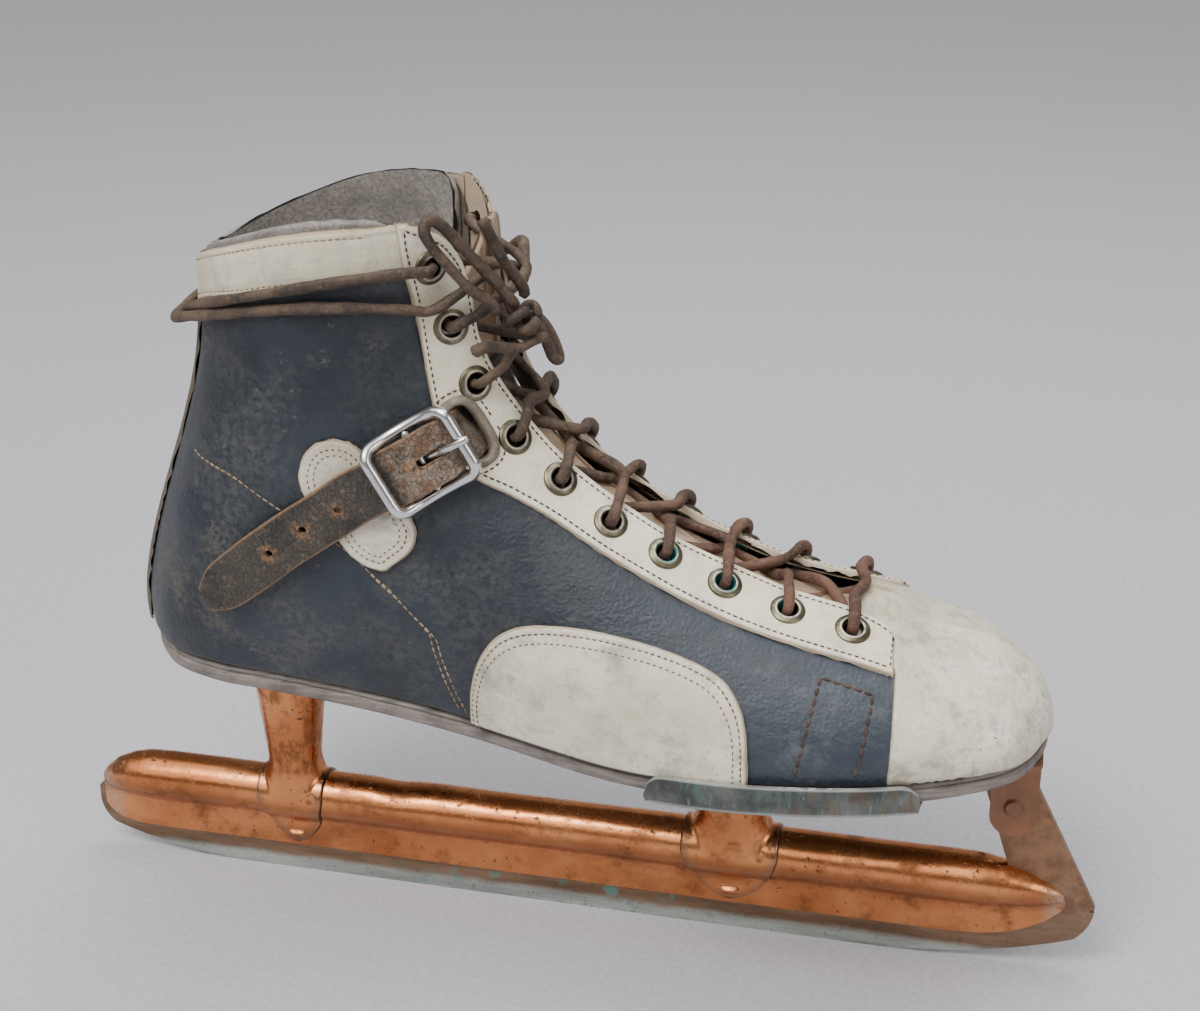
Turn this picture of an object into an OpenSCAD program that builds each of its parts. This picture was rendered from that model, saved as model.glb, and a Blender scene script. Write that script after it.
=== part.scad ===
// Ice hockey skate for the right foot: a laced leather boot riveted to a tube runner.
// Millimetres. The origin is on the ice under the middle of the runner.
// X points to the toe, Y to the inner side of the foot and Z up.

/* [Runner] */
// Length of the blade from heel end to tip
runner_l = 330; // [325:1:335]
// Thickness of the blade
blade_t = 2.6; // [2.2:0.1:3]
// Height of the blade that shows below the tube
blade_show = 10; // [9:0.5:12]
// Height of the tube's axis above the ice
tube_axis_h = 29.5; // [28:0.5:31]
// Outer radius of the tube
tube_r = 8; // [7.5:0.1:8.5]
// Wall of the tube
tube_wall = 1; // [0.8:0.1:1.3]
// Sheet thickness of the posts and their saddles
post_t = 1.2; // [1:0.1:1.4]

/* [Sole] */
// Height of the sole's underside at the ball of the foot
boot_h = 72; // [69:0.5:75]
// Thickness of the outsole
outsole_t = 4.2; // [3.8:0.1:4.6]
// Thickness of the welt on the outsole
welt_t = 1.8; // [1.5:0.1:2.2]
// Thickness of the insole
insole_t = 3; // [2.5:0.1:3.5]
// Sheet thickness of the sole plates
plate_t = 1.5; // [1.2:0.1:1.8]
// Height of the front plate's turned-up sides above the plate
flange_h = 5.8; // [4.9:0.1:5.9]
// Radius of the rivets' shanks
rivet_r = 1.6; // [1.3:0.1:2]

/* [Upper] */
// Thickness of the dark body leather
leather_t = 1.7; // [1.4:0.1:2]
// Thickness of the pale leather pieces sewn on it
overlay_t = 1.4; // [1.2:0.1:1.6]
// Thickness of the stiff counter and toe puff
stiffener_t = 1; // [0.8:0.1:1.2]
// Thickness of the lining
lining_t = 1.2; // [1:0.1:1.4]
// Thickness of the tongue
tongue_t = 2.5; // [2:0.1:3]

/* [Lacing] */
// Diameter of the round leather lace
lace_d = 3.5; // [3.2:0.1:3.6]
// Bore of the eyelets
eyelet_bore = 5.6; // [5.4:0.1:5.8]
// Outer diameter of the eyelets' flanges
eyelet_d = 10.4; // [9.8:0.1:10.8]

/* [Strap] */
// Width of the ankle strap
strap_w = 16; // [14.5:0.5:16.5]
// Thickness of the ankle strap
strap_t = 1.8; // [1.5:0.1:2]
// Diameter of the buckle's frame
buckle_bar_d = 3.3; // [3:0.1:3.6]
// Distance from the buckle's middle bar to its end bars
buckle_reach = 13; // [12.5:0.1:13.5]

/* [Hidden] */
$fn = 48;
// Gaps between neighbouring layers in view and behind the dark leather, and of seated metal
lap = 0.3;
hidden_lap = 0.7;
strap_bed = 1.5;
fit = 0.05;
eps = 0.01;
// Sides of the foot: the outer side is -Y and the inner side is +Y
outer_side = -1;
inner_side = 1;

// Levels of the layers, measured out from the last along its normal
quarter_in = 0;
quarter_out = leather_t;
overlay_in = quarter_out + 1.2*lap;
overlay_out = overlay_in + overlay_t;
stiffener_out = -hidden_lap;
stiffener_in = stiffener_out - stiffener_t;
lining_out = stiffener_in - hidden_lap;
lining_in = lining_out - lining_t;
lace_r = lace_d/2;
lace_under = -lap - lace_r;
strap_under_out = -2*lap - lace_d;
strap_under_in = strap_under_out - strap_t;
tongue_out = strap_under_in - strap_bed;
tongue_in = tongue_out - tongue_t;

// Side view of the sole: an arc under the ball, a straight toe, a straight waist and a level heel
ball_x = 28;
ball_radius = 290;
toe_x = 42.8;
waist_x = -11.8;
heel_x = -80;
heel_run = 34;
toe_slope = (toe_x - ball_x)/ball_radius;
waist_slope = (ball_x - waist_x)/ball_radius;
function heel_blend(x) = min(max(heel_x - x, 0), heel_run);
function sole_curve(x) = boot_h + (x > toe_x
    ? (toe_x - ball_x)^2/(2*ball_radius) + toe_slope*(x - toe_x)
    : x > waist_x
    ? (x - ball_x)^2/(2*ball_radius)
    : (waist_x - ball_x)^2/(2*ball_radius) + waist_slope*(waist_x - max(x, heel_x))
        + waist_slope*heel_blend(x)*(1 - heel_blend(x)/(2*heel_run)));
// Every sole layer follows the same chords of that curve
chord = 8;
function sole_z(x) =
    let (a = chord*floor(x/chord), u = (x - a)/chord)
    sole_curve(a)*(1 - u) + sole_curve(a + chord)*u;
function chords(from, to) = concat([from],
    [for (i = [floor(from/chord) + 1 : ceil(to/chord) - 1]) i*chord], [to]);
feather_up = outsole_t + welt_t;

// The last: profiles from the sole line up to the instep ridge or the collar's rim.
// Each row has the sole point (x, half width), two handles and the top (x, half width, height),
// with heights above the sole's underside at the ball.
last_rows = [
    [[145, 0], [144.8, 0, 19], [137.5, 0, 36.5], [117, 0, 39]],
    [[138.5, 22.5], [140.2, 25.5, 19], [127.5, 15.5, 35], [113, 0, 39.3]],
    [[123, 34], [124.5, 37.5, 24.5], [116, 24, 38], [107, 0, 41]],
    [[96, 42.3], [97, 46.8, 26], [96.5, 29.5, 42.2], [95, 0, 48]],
    [[60, 44.5], [60, 48.7, 26.5], [61, 30, 51], [62, 0, 54.5]],
    [[25, 40], [25, 45.3, 31.5], [27, 30, 64.5], [30, 0, 69.5]],
    [[-10, 32.5], [-8, 41.5, 40], [-4, 30, 83.5], [3, 0, 90]],
    [[-38, 30], [-37, 40.5, 46], [-21, 31, 107], [-14, 0, 115]],
    [[-62, 30], [-61, 40.5, 50], [-33, 33, 128], [-17, 0, 160]],
    [[-84, 31.5], [-84, 40.5, 50], [-50, 34, 118], [-37, 29, 163]],
    [[-103, 31.5], [-105, 38.5, 48], [-70, 34.5, 113], [-68, 34.5, 160]],
    [[-121, 23], [-125, 29, 46], [-94.5, 25, 103], [-93.5, 24, 152]],
    [[-134, 0], [-139, 0, 56], [-105, 0, 88], [-108, 0, 145]]
];
heel_s = len(last_rows) - 1;
collar_s = 8;
up_by = [0, 0, boot_h];
last_ctrl = [for (i = [-1 : heel_s + 1])
    let (k = i < 0 ? 1 : i > heel_s ? heel_s - 1 : i, flip = k == i ? 1 : -1, row = last_rows[k],
         foot = [row[0].x, row[0].y, sole_z(row[0].x) + feather_up])
    [for (p = [foot, row[1] + up_by, row[2] + up_by, row[3] + up_by]) [p.x, p.y*flip, p.z]]];
function along_weights(u) = [(-u + 2*u^2 - u^3)/2, (2 - 5*u^2 + 3*u^3)/2, (u + 4*u^2 - 3*u^3)/2, (u^3 - u^2)/2];
function up_weights(t) = [(1 - t)^3, 3*t*(1 - t)^2, 3*t^2*(1 - t), t^3];
// A point of the last on its half width side: s runs from toe to heel, t from the sole up
function last_point(s, t) =
    let (i = min(floor(s), heel_s - 1), w = along_weights(s - i))
    up_weights(t)*[for (j = [0:3]) w*[for (k = [0:3]) last_ctrl[i + k][j]]];
function unit(v) = v/norm(v);
// Directions along s and up t, which are square to the middle plane on it
function last_along(s, t, e) = s == 0 ? [0, 1, 0] : s == heel_s ? [0, -1, 0]
    : last_point(min(s + e, heel_s), t) - last_point(max(s - e, 0), t);
function last_up(s, t, e) = t == 1 && s > 0 && s <= collar_s ? [0, -1, 0]
    : last_point(s, min(t + e, 1)) - last_point(s, max(t - e, 0));
function last_normal(s, t, e = 0.01) = unit(cross(last_along(s, t, e), last_up(s, t, e)));
// The forefoot swings to the inner side, which makes it a right foot
toe_swing = 4;
swing_from = 20;
swing_run = 127;
function swing(x) = toe_swing*pow(max(x - swing_from, 0)/swing_run, 2);
function side_point(side, s, t, off) =
    let (p = last_point(s, t) + off*last_normal(s, t))
    [p.x, side*p.y + swing(p.x), p.z];
function side_normal(side, s, t) = let (n = last_normal(s, t)) [n.x, side*n.y, n.z];

// Straight-line lookup in rows that start with their own key
function pick(rows, x, i = 0) =
    i >= len(rows) - 2 || x <= rows[i + 1][0]
        ? let (a = rows[i], b = rows[i + 1], u = (x - a[0])/(b[0] - a[0])) a + (b - a)*u
        : pick(rows, x, i + 1);
function spread(a, b, n) = [for (i = [0:n]) a + (b - a)*i/n];
function backwards(list) = [for (i = [len(list) - 1 : -1 : 0]) list[i]];

// Faces of a closed sheet of m by n points on each face; a folded sheet's first row meets itself
function sheet_faces(m, n, fold) =
    let (ix = function(i, j) fold && i == 0 ? min(j, n - 1 - j) : i*n + j, back = m*n)
    concat(
        [for (i = [0 : m - 2], j = [0 : n - 2])
            each [[ix(i, j), ix(i + 1, j), ix(i + 1, j + 1)], [ix(i, j), ix(i + 1, j + 1), ix(i, j + 1)]]],
        [for (i = [0 : m - 2], j = [0 : n - 2])
            each [[back + ix(i, j), back + ix(i + 1, j + 1), back + ix(i + 1, j)],
                  [back + ix(i, j), back + ix(i, j + 1), back + ix(i + 1, j + 1)]]],
        [for (i = [0 : m - 2])
            each [[ix(i, 0), back + ix(i, 0), back + ix(i + 1, 0)],
                  [ix(i, 0), back + ix(i + 1, 0), ix(i + 1, 0)]]],
        [for (i = [0 : m - 2])
            each [[ix(i, n - 1), ix(i + 1, n - 1), back + ix(i + 1, n - 1)],
                  [ix(i, n - 1), back + ix(i + 1, n - 1), back + ix(i, n - 1)]]],
        fold ? [] : [for (j = [0 : n - 2])
            each [[ix(0, j), ix(0, j + 1), back + ix(0, j + 1)],
                  [ix(0, j), back + ix(0, j + 1), back + ix(0, j)]]],
        [for (j = [0 : n - 2])
            each [[ix(m - 1, j), back + ix(m - 1, j), back + ix(m - 1, j + 1)],
                  [ix(m - 1, j), back + ix(m - 1, j + 1), ix(m - 1, j + 1)]]]);
function turned(faces) = [for (f = faces) [f[0], f[2], f[1]]];
// A leather piece on the last: cells give the side, s and t of each point, row by row
module leather(cells, low, high, fold = false, turn = false) {
    rows = len(cells);
    columns = len(cells[0]);
    outside = [for (row = cells, c = row) side_point(c[0], c[1], c[2], high)];
    inside = [for (row = cells, c = row) side_point(c[0], c[1], c[2], low)];
    faces = sheet_faces(rows, columns, fold);
    polyhedron(concat(outside, inside), turn ? turned(faces) : faces);
}
// Cells of a piece on one side between a lower and an upper line, both keyed by s
function band_cells(side, stations, low_line, high_line, columns) =
    [for (s = stations) [for (t = spread(pick(low_line, s)[1], pick(high_line, s)[1], columns)) [side, s, t]]];
// Cells of a piece between two edges given as matching rows [key, s, t]
function ribbon_cells(side, keys, edge_a, edge_b, columns) =
    [for (k = keys) let (a = pick(edge_a, k), b = pick(edge_b, k))
        [for (w = spread(0, 1, columns)) [side, a[1] + (b[1] - a[1])*w, a[2] + (b[2] - a[2])*w]]];
// Cells that run over the ridge from the outer to the inner side
function ridge_cells(stations, low_line, columns) =
    [for (s = stations) let (low = pick(low_line, s)[1])
        [for (u = [-columns : columns]) [u < 0 ? outer_side : inner_side, s, 1 - (1 - low)*abs(u)/columns]]];
// Cells that run round the heel from the outer to the inner side
function heel_cells(stations, low_line, high_line, columns) = concat(
    band_cells(outer_side, stations, low_line, high_line, columns),
    band_cells(inner_side, backwards([for (i = [0 : len(stations) - 2]) stations[i]]),
        low_line, high_line, columns));
// Where the upper meets the sole
seam_t = 0.015;
seam_line = [[0, seam_t], [heel_s, seam_t]];
cap_s = 2.83;

// Turns a shape's Z axis to a direction and its X axis towards a second one, at a point
module aim(at, dir) {
    translate(at) rotate([0, acos(dir.z), atan2(dir.y, dir.x)]) children();
}
module frame_at(at, along, out) {
    z = unit(out);
    x = unit(along - (along*z)*z);
    y = cross(z, x);
    multmatrix([[x.x, y.x, z.x, at.x], [x.y, y.y, z.y, at.y], [x.z, y.z, z.z, at.z]]) children();
}

// A round cord swept along points, with rings kept free of twist
function tangents(path) = [for (i = [0 : len(path) - 1])
    unit(path[min(i + 1, len(path) - 1)] - path[max(i - 1, 0)])];
function carry(v, t) = unit(v - (v*t)*t);
function ring_normals(tans, i, v) =
    i >= len(tans) ? [] : let (n = carry(v, tans[i])) concat([n], ring_normals(tans, i + 1, n));
cord_sides = 8;
function cord_points(path, r) =
    let (tans = tangents(path), start = abs(tans[0].z) > 0.9 ? [1, 0, 0] : [0, 0, 1],
         normals = ring_normals(tans, 0, start))
    [for (i = [0 : len(path) - 1], k = [0 : cord_sides - 1])
        let (a = 360*k/cord_sides, n = normals[i], b = cross(tans[i], n))
        path[i] + r*(cos(a)*n + sin(a)*b)];
function cord_faces(rings) = concat(
    [[for (k = [0 : cord_sides - 1]) k]],
    [[for (k = [0 : cord_sides - 1]) rings*cord_sides - 1 - k]],
    [for (i = [0 : rings - 2], k = [0 : cord_sides - 1])
        let (a = i*cord_sides + k, b = i*cord_sides + (k + 1) % cord_sides)
        each [[a, a + cord_sides, b + cord_sides], [a, b + cord_sides, b]]]);
module cord(path, r) polyhedron(cord_points(path, r), cord_faces(len(path)));
// A smooth cord path through hand-chosen points
function smooth(path, steps) = concat(
    [for (i = [0 : len(path) - 2], k = [0 : steps - 1])
        along_weights(k/steps)*[path[max(i - 1, 0)], path[i], path[i + 1], path[min(i + 2, len(path) - 1)]]],
    [path[len(path) - 1]]);

// Runner
flat_front = 95;
flat_rear = -110;
rocker_front = 180;
rocker_rear = 150;
tip_r = 16;
tail_r = 12;
tip_x = runner_l/2 - tip_r;
tail_x = -runner_l/2 + tail_r;
tip_z = (tip_x - flat_front)^2/(2*rocker_front) + tip_r;
tail_z = (tail_x - flat_rear)^2/(2*rocker_rear) + tail_r;
blade_top = tube_axis_h - tube_r + 1;
arm_top_rear = [125, boot_h + 2.9];
arm_top_front = [139, boot_h + 2.9];
module side_view(width) rotate([90, 0, 0]) linear_extrude(width, center = true) children();
module blade_profile() {
    difference() {
        translate([-runner_l/2, 0]) square([runner_l, blade_top]);
        translate([flat_front, 0]) difference() {
            translate([0, -1]) square([runner_l/2, rocker_front]);
            translate([0, rocker_front]) circle(rocker_front, $fn = 360);
        }
        translate([flat_rear, 0]) difference() {
            translate([-runner_l/2, -1]) square([runner_l/2, rocker_rear]);
            translate([0, rocker_rear]) circle(rocker_rear, $fn = 360);
        }
        difference() {
            translate([tip_x, -1]) square([tip_r + 1, tip_z + 1]);
            translate([tip_x, tip_z]) circle(tip_r);
        }
        difference() {
            translate([tail_x - tail_r - 1, -1]) square([tail_r + 1, tail_z + 1]);
            translate([tail_x, tail_z]) circle(tail_r);
        }
    }
    difference() {
        polygon([[tip_x - 5, tip_z - 6], [tip_x, tip_z - tip_r + 2], [runner_l/2, tip_z],
                 arm_top_front, arm_top_rear]);
        difference() {
            translate([tip_x, -1]) square([tip_r + 1, tip_z + 1]);
            translate([tip_x, tip_z]) circle(tip_r);
        }
    }
}
// The tab follows the arm, which leans further forward on a longer runner.
tab_x = 72 + runner_l/5;
tab_rivet_z = boot_h - 15;
module tab_rivet_hole() {
    translate([tab_x, 0, tab_rivet_z]) rotate([90, 0, 0])
        cylinder(h = 20, r = rivet_r + fit, center = true);
}
module runner_blade() {
    color("#5d544c") difference() {
        side_view(blade_t) blade_profile();
        tab_rivet_hole();
    }
}

flange_half = blade_t/2 + tube_wall;
tube_front = 131;
tube_rear = -148;
nose_x = runner_l/2 - 9;
nose_z = 26;
tail_tip_x = -runner_l/2 + 4;
// Section of the tube, grown by extra: a circle that sweeps in to a flange on each side of the blade
tube_blend = 7;
module keyhole(extra, low) {
    r = tube_r + extra;
    half = flange_half + extra;
    blend = tube_blend - extra;
    reach = half + blend;
    drop = sqrt((r + blend)^2 - reach^2);
    translate([0, tube_axis_h]) {
        circle(r);
        for (way = [0, 1]) mirror([way, 0]) difference() {
            polygon([[0, 0], [r*reach/(r + blend), -r*drop/(r + blend)],
                     [reach, -drop], [half, -drop], [0, -drop]]);
            translate([reach, -drop]) circle(blend);
        }
    }
    translate([-half, low]) square([2*half, tube_axis_h - low]);
}
module along_x(from, to) translate([from, 0, 0]) rotate([90, 0, 90]) linear_extrude(to - from) children();
module disc(x, z, r) translate([x, 0, z]) rotate([0, 90, 0]) cylinder(h = 0.2, r = r, center = true, $fn = 32);
module slab(x, half, low, high) {
    translate([x, 0, (low + high)/2]) cube([0.2, 2*half, high - low], center = true);
}
module runner_tube() {
    color("#b0683c") difference() {
        union() {
            along_x(tube_rear, tube_front) difference() {
                keyhole(0, blade_show);
                translate([0, tube_axis_h]) circle(tube_r - tube_wall);
            }
            hull() {
                disc(tube_front, tube_axis_h, tube_r);
                disc(tube_front + 12, tube_axis_h - 1, tube_r - 1.6);
                translate([nose_x - 2, 0, nose_z]) sphere(2, $fn = 24);
            }
            hull() {
                slab(tube_front - 8, flange_half, blade_show, tube_axis_h);
                slab(tube_front + 6, flange_half, blade_show + 3.5, tube_axis_h);
                slab(nose_x - 1, flange_half - 0.6, nose_z - 2, nose_z + 1);
            }
            hull() {
                disc(tube_rear, tube_axis_h, tube_r);
                disc(tube_rear - 7, tube_axis_h - 0.6, tube_r - 1);
                translate([tail_tip_x + 3.5, 0, nose_z]) sphere(3.5, $fn = 24);
            }
            hull() {
                slab(tube_rear + 12, flange_half, blade_show, tube_axis_h);
                slab(tube_rear, flange_half, blade_show + 2, tube_axis_h);
                slab(tail_tip_x + 1, flange_half - 0.5, nose_z - 5, nose_z + 2);
            }
        }
        translate([0, 0, tube_axis_h/2]) cube([2*runner_l, blade_t, tube_axis_h], center = true);
        side_view(blade_t) blade_profile();
    }
}

// Posts: rolled sheet cones with a saddle that grips the tube
front_post_x = 53;
rear_post_x = -93;
post_foot = tube_axis_h + tube_r - 1;
module under_plates() {
    rotate([90, 0, 0]) linear_extrude(200, center = true)
        polygon(concat([[200, -10], [-200, -10]],
            [for (x = chords(-200, 200)) [x, sole_z(x) - plate_t - fit]]));
}
module saddle(x, length, drop) {
    tongue_r = length*0.28;
    dimple_r = 6;
    dimple_h = 1.2;
    dimple_z = drop + tongue_r/2;
    face_y = flange_half + fit + post_t;
    for (way = [-1, 1]) difference() {
        intersection() {
            translate([x, way*(face_y - dimple_r + dimple_h), dimple_z]) sphere(dimple_r);
            translate([x, way*(face_y - post_t/2 + dimple_r), dimple_z]) cube(2*dimple_r, center = true);
        }
        along_x(x - length/2, x + length/2) keyhole(fit + post_t/2, 0);
    }
    intersection() {
        along_x(x - length/2, x + length/2) difference() {
            keyhole(fit + post_t, drop);
            keyhole(fit, 0);
        }
        side_view(60) translate([x, 0]) {
            translate([-length/2, tube_axis_h]) square([length, 2*tube_r]);
            translate([0, drop + tongue_r]) circle(tongue_r);
            for (way = [0, 1]) mirror([way, 0])
                polygon([[0, tube_axis_h], [length/2, tube_axis_h], [length*0.45, tube_axis_h - tube_r*0.6],
                         [tongue_r, drop + tongue_r], [0, drop + tongue_r]]);
        }
    }
}
module post(x, low_r, high_r, saddle_l, drop) {
    top = sole_z(x) + 5;
    saddle(x, saddle_l, drop);
    intersection() {
        difference() {
            translate([x, 0, tube_axis_h]) cylinder(h = top - tube_axis_h, r1 = low_r, r2 = high_r);
            translate([x, 0, tube_axis_h - eps])
                cylinder(h = top - tube_axis_h + 1, r1 = low_r - post_t, r2 = high_r - post_t);
            along_x(x - 40, x + 40) keyhole(fit + post_t/2, 0);
            along_x(x - 40, x + 40) translate([-40, 0]) square([80, tube_axis_h]);
        }
        under_plates();
    }
}
module front_post() color("#ad653a") post(front_post_x, 13.6, 14.8, 31, 16.5);
module rear_post() color("#a55f36") post(rear_post_x, 10.8, 14.6, 23, 15.5);

// Outline of the sole in plan, offset from the sole line of the last
outline_steps = 4;
function outline_point(side, s, off) =
    let (p = last_point(s, 0), d = last_along(s, 0, 0.05), n = unit([d.y, -d.x]), q = [p.x, p.y] + off*n)
    [q.x, side*q.y + swing(q.x)];
outline_count = heel_s*outline_steps;
function outline(off) = concat(
    [for (i = [0 : outline_count]) outline_point(outer_side, i/outline_steps, off)],
    [for (i = [outline_count - 1 : -1 : 1]) outline_point(inner_side, i/outline_steps, off)]);
// A slab that follows the sole's side view between two heights above its underside
module sole_layer(low, high, from = -200, to = 200) {
    xs = chords(from, to);
    rotate([90, 0, 0]) linear_extrude(200, center = true)
        polygon(concat([for (x = xs) [x, sole_z(x) + low]], [for (x = backwards(xs)) [x, sole_z(x) + high]]));
}
module plan(low = 0, high = 400) translate([0, 0, low]) linear_extrude(high - low) children();
sole_edge = 1;
welt_in = -6;
module sole_outline(off) polygon(outline(off));

// Rivets stand square on the plates and pass through them into the outsole
front_rivet_xy = [[42, -30], [42, 30], [72, -33], [72, 33], [98, -22], [98, 24]];
heel_rivet_xy = [[-72, -17], [-72, 17], [-114, -15], [-114, 15]];
rivet_head_r = 3;
rivet_head_h = 1;
head_bevel = 0.8;
rivet_grip = plate_t + outsole_t/2;
module rivet_holes(places) {
    for (p = places) translate([p.x, p.y, boot_h - 20]) cylinder(h = 60, r = rivet_r + fit);
}
module rivets(places) {
    for (p = places) translate([p.x, p.y, sole_z(p.x) - plate_t]) {
        slope = abs(sole_z(p.x + rivet_head_r) - sole_z(p.x - rivet_head_r))/2 + fit;
        translate([0, 0, -slope - rivet_head_h])
            cylinder(h = rivet_head_h, r1 = rivet_head_r - head_bevel, r2 = rivet_head_r);
        translate([0, 0, -slope - eps]) cylinder(h = rivet_grip + slope - fit, r = rivet_r);
    }
}
module rivet_wells(places) {
    for (p = places) translate([p.x, p.y, sole_z(p.x) - plate_t - 1])
        cylinder(h = rivet_grip + 1 + fit, r = rivet_r + fit);
}
module front_rivets() color("#8c8478") rivets(front_rivet_xy);
module heel_rivets() color("#8c8478") rivets(heel_rivet_xy);

// Front plate: a broad plate under the ball with turned-up sides and a toe strip with a tab
plate_from = 33;
plate_to = 111;
flange_from = 35;
flange_to = 109;
strip_half = 12;
tab_half = 7;
tab_low = boot_h - 25;
module front_plate_plan() {
    intersection() {
        sole_outline(sole_edge + fit + plate_t);
        union() {
            translate([plate_from, -100]) square([plate_to - plate_from - 8, 200]);
            polygon([[plate_to - 9, -100], [plate_to - 9, 100], [plate_to + 4, strip_half + 4],
                     [tab_x + tab_half, strip_half], [tab_x + tab_half, -strip_half],
                     [plate_to + 4, -strip_half - 4]]);
        }
    }
}
module flange_window() {
    corner = 3;
    rotate([90, 0, 0]) linear_extrude(200, center = true)
        polygon(concat(
            [for (x = chords(flange_from, flange_to)) [x, sole_z(x) - plate_t]],
            [for (x = backwards(chords(flange_from + corner, flange_to - corner))) [x, sole_z(x) + flange_h]]));
}
module front_sole_plate() {
    color("#7f7568") difference() {
        union() {
            intersection() {
                sole_layer(-plate_t, 0, plate_from - 5, tab_x + tab_half + 5);
                plan() front_plate_plan();
            }
            intersection() {
                flange_window();
                plan() difference() {
                    sole_outline(sole_edge + fit + plate_t);
                    sole_outline(sole_edge + fit);
                }
            }
            translate([tab_x, -blade_t/2 - fit, 0]) rotate([90, 0, 0]) linear_extrude(plate_t) {
                translate([0, tab_low + tab_half]) circle(tab_half);
                translate([-tab_half, tab_low + tab_half])
                    square([2*tab_half, sole_z(tab_x - tab_half) - plate_t/2 - tab_low - tab_half]);
            }
        }
        rivet_holes(front_rivet_xy);
        tab_rivet_hole();
    }
}
module toe_tab_rivet() {
    head_y = blade_t/2 + plate_t + 2*fit;
    color("#8c8478") translate([tab_x, 0, tab_rivet_z]) rotate([90, 0, 0]) {
        cylinder(h = 2*head_y, r = rivet_r, center = true);
        translate([0, 0, head_y - eps])
            cylinder(h = rivet_head_h, r1 = rivet_head_r, r2 = rivet_head_r - head_bevel);
        translate([0, 0, -blade_t/2 - fit - rivet_head_h])
            cylinder(h = rivet_head_h, r1 = rivet_head_r - head_bevel, r2 = rivet_head_r);
    }
}
heel_plate_rear = -104;
heel_plate_front = -68;
heel_plate_r = 24;
module heel_plate() {
    color("#7f7568") difference() {
        intersection() {
            sole_layer(-plate_t, 0, -135, -50);
            plan() {
                translate([heel_plate_rear, 0]) circle(heel_plate_r);
                translate([heel_plate_rear, -heel_plate_r])
                    square([heel_plate_front - heel_plate_rear, 2*heel_plate_r]);
                translate([heel_plate_front, 0]) circle(heel_plate_r);
            }
        }
        rivet_holes(heel_rivet_xy);
    }
}

// Sole layers
module outsole() {
    color("#4d463e") difference() {
        intersection() {
            sole_layer(0, outsole_t);
            plan() sole_outline(sole_edge);
        }
        rivet_wells(front_rivet_xy);
        rivet_wells(heel_rivet_xy);
    }
}
module welt() {
    color("#7a6a55") intersection() {
        sole_layer(outsole_t, outsole_t + welt_t - fit);
        plan() difference() {
            sole_outline(sole_edge);
            sole_outline(welt_in);
        }
    }
}
shank_front = 18;
shank_rear = -95;
shank_r = 7;
filler_rear = shank_front + 2;
module shank() {
    color("#6a6c70") intersection() {
        sole_layer(outsole_t, outsole_t + welt_t - fit);
        plan() {
            translate([shank_rear, -shank_r]) square([shank_front - shank_r - shank_rear, 2*shank_r]);
            translate([shank_rear, 0]) circle(shank_r);
            translate([shank_front - shank_r, 0]) circle(shank_r);
        }
    }
}
module filler() {
    color("#8a6f4c") intersection() {
        sole_layer(outsole_t, outsole_t + welt_t - fit, filler_rear, 150);
        plan() sole_outline(welt_in - lap);
    }
}
module insole() {
    color("#a48a66") intersection() {
        sole_layer(feather_up + fit, feather_up + insole_t);
        plan() sole_outline(lining_in - 1.2);
    }
}

// Toe
cap_stations = [0, 0.35, 0.7, 1.05, 1.4, 1.75, 2.1, 2.45, cap_s];
cap_columns = 9;
// The cap's leather is heavier than the quarters', and inner pieces start above the sole seam
cap_extra = 0.8;
inner_seam = [[0, 0.05], [heel_s, 0.05]];
lining_seam = [[0, 0.07], [heel_s, 0.07]];
module toe_cap() {
    color("#d8cdb4")
        leather(ridge_cells(cap_stations, seam_line, cap_columns), quarter_in, quarter_out + cap_extra, true);
}
module toe_puff() {
    color("#b9a888") leather(ridge_cells(cap_stations, inner_seam, 6), stiffener_in, stiffener_out, true);
}

// Dark quarters: the top line runs under the eyestay and the collar
quarter_top = [
    [2.86, 0.65], [3.2, 0.675], [3.8, 0.71], [4.3, 0.73], [4.9, 0.745], [5.3, 0.75], [5.85, 0.75], [6.3, 0.72],
    [6.7, 0.66], [7.4, 0.66], [7.75, 0.7], [8.1, 0.745], [8.5, 0.81], [8.75, 0.88], [9.1, 0.975], [9.6, 0.985],
    [heel_s, 0.985]
];
quarter_stations = [2.86, 3.2, 3.5, 3.8, 4.1, 4.4, 4.7, 5, 5.3, 5.6, 5.9, 6.3, 6.7, 7.1, 7.4, 7.75, 8.1,
    8.5, 8.8, 9.1, 9.4, 9.8, 10.2, 10.6, 11, 11.3, 11.6, 11.85];
quarter_columns = 9;
module quarter(side) {
    leather(band_cells(side, quarter_stations, seam_line, quarter_top, quarter_columns),
        quarter_in, quarter_out, false, side == inner_side);
}
module quarter_outer() color("#31343a") quarter(outer_side);
module quarter_inner() color("#31343a") quarter(inner_side);
module back_stay() {
    stations = [11.6, 11.85, heel_s];
    top = [[0, 0.868], [heel_s, 0.868]];
    color("#2b2d31") leather(heel_cells(stations, seam_line, top, 10), overlay_in, overlay_out - 0.4);
}
counter_top = [[7.1, 0.1], [7.6, 0.24], [8.4, 0.35], [9.4, 0.43], [10.8, 0.5], [heel_s, 0.52]];
module heel_counter() {
    stations = [7.1, 7.4, 7.75, 8.1, 8.5, 9.1, 9.6, 10.1, 10.6, 11.1, 11.5, heel_s];
    color("#8f7c60") leather(heel_cells(stations, inner_seam, counter_top, 5), stiffener_in, stiffener_out);
}
lining_top = [
    [2.86, 0.5], [3.8, 0.57], [4.9, 0.63], [5.85, 0.66], [6.3, 0.62], [6.7, 0.56], [7.4, 0.56], [7.75, 0.62],
    [8.1, 0.68], [8.5, 0.77], [8.75, 0.85], [9.1, 0.96], [9.6, 0.985], [heel_s, 0.985]
];
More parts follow.
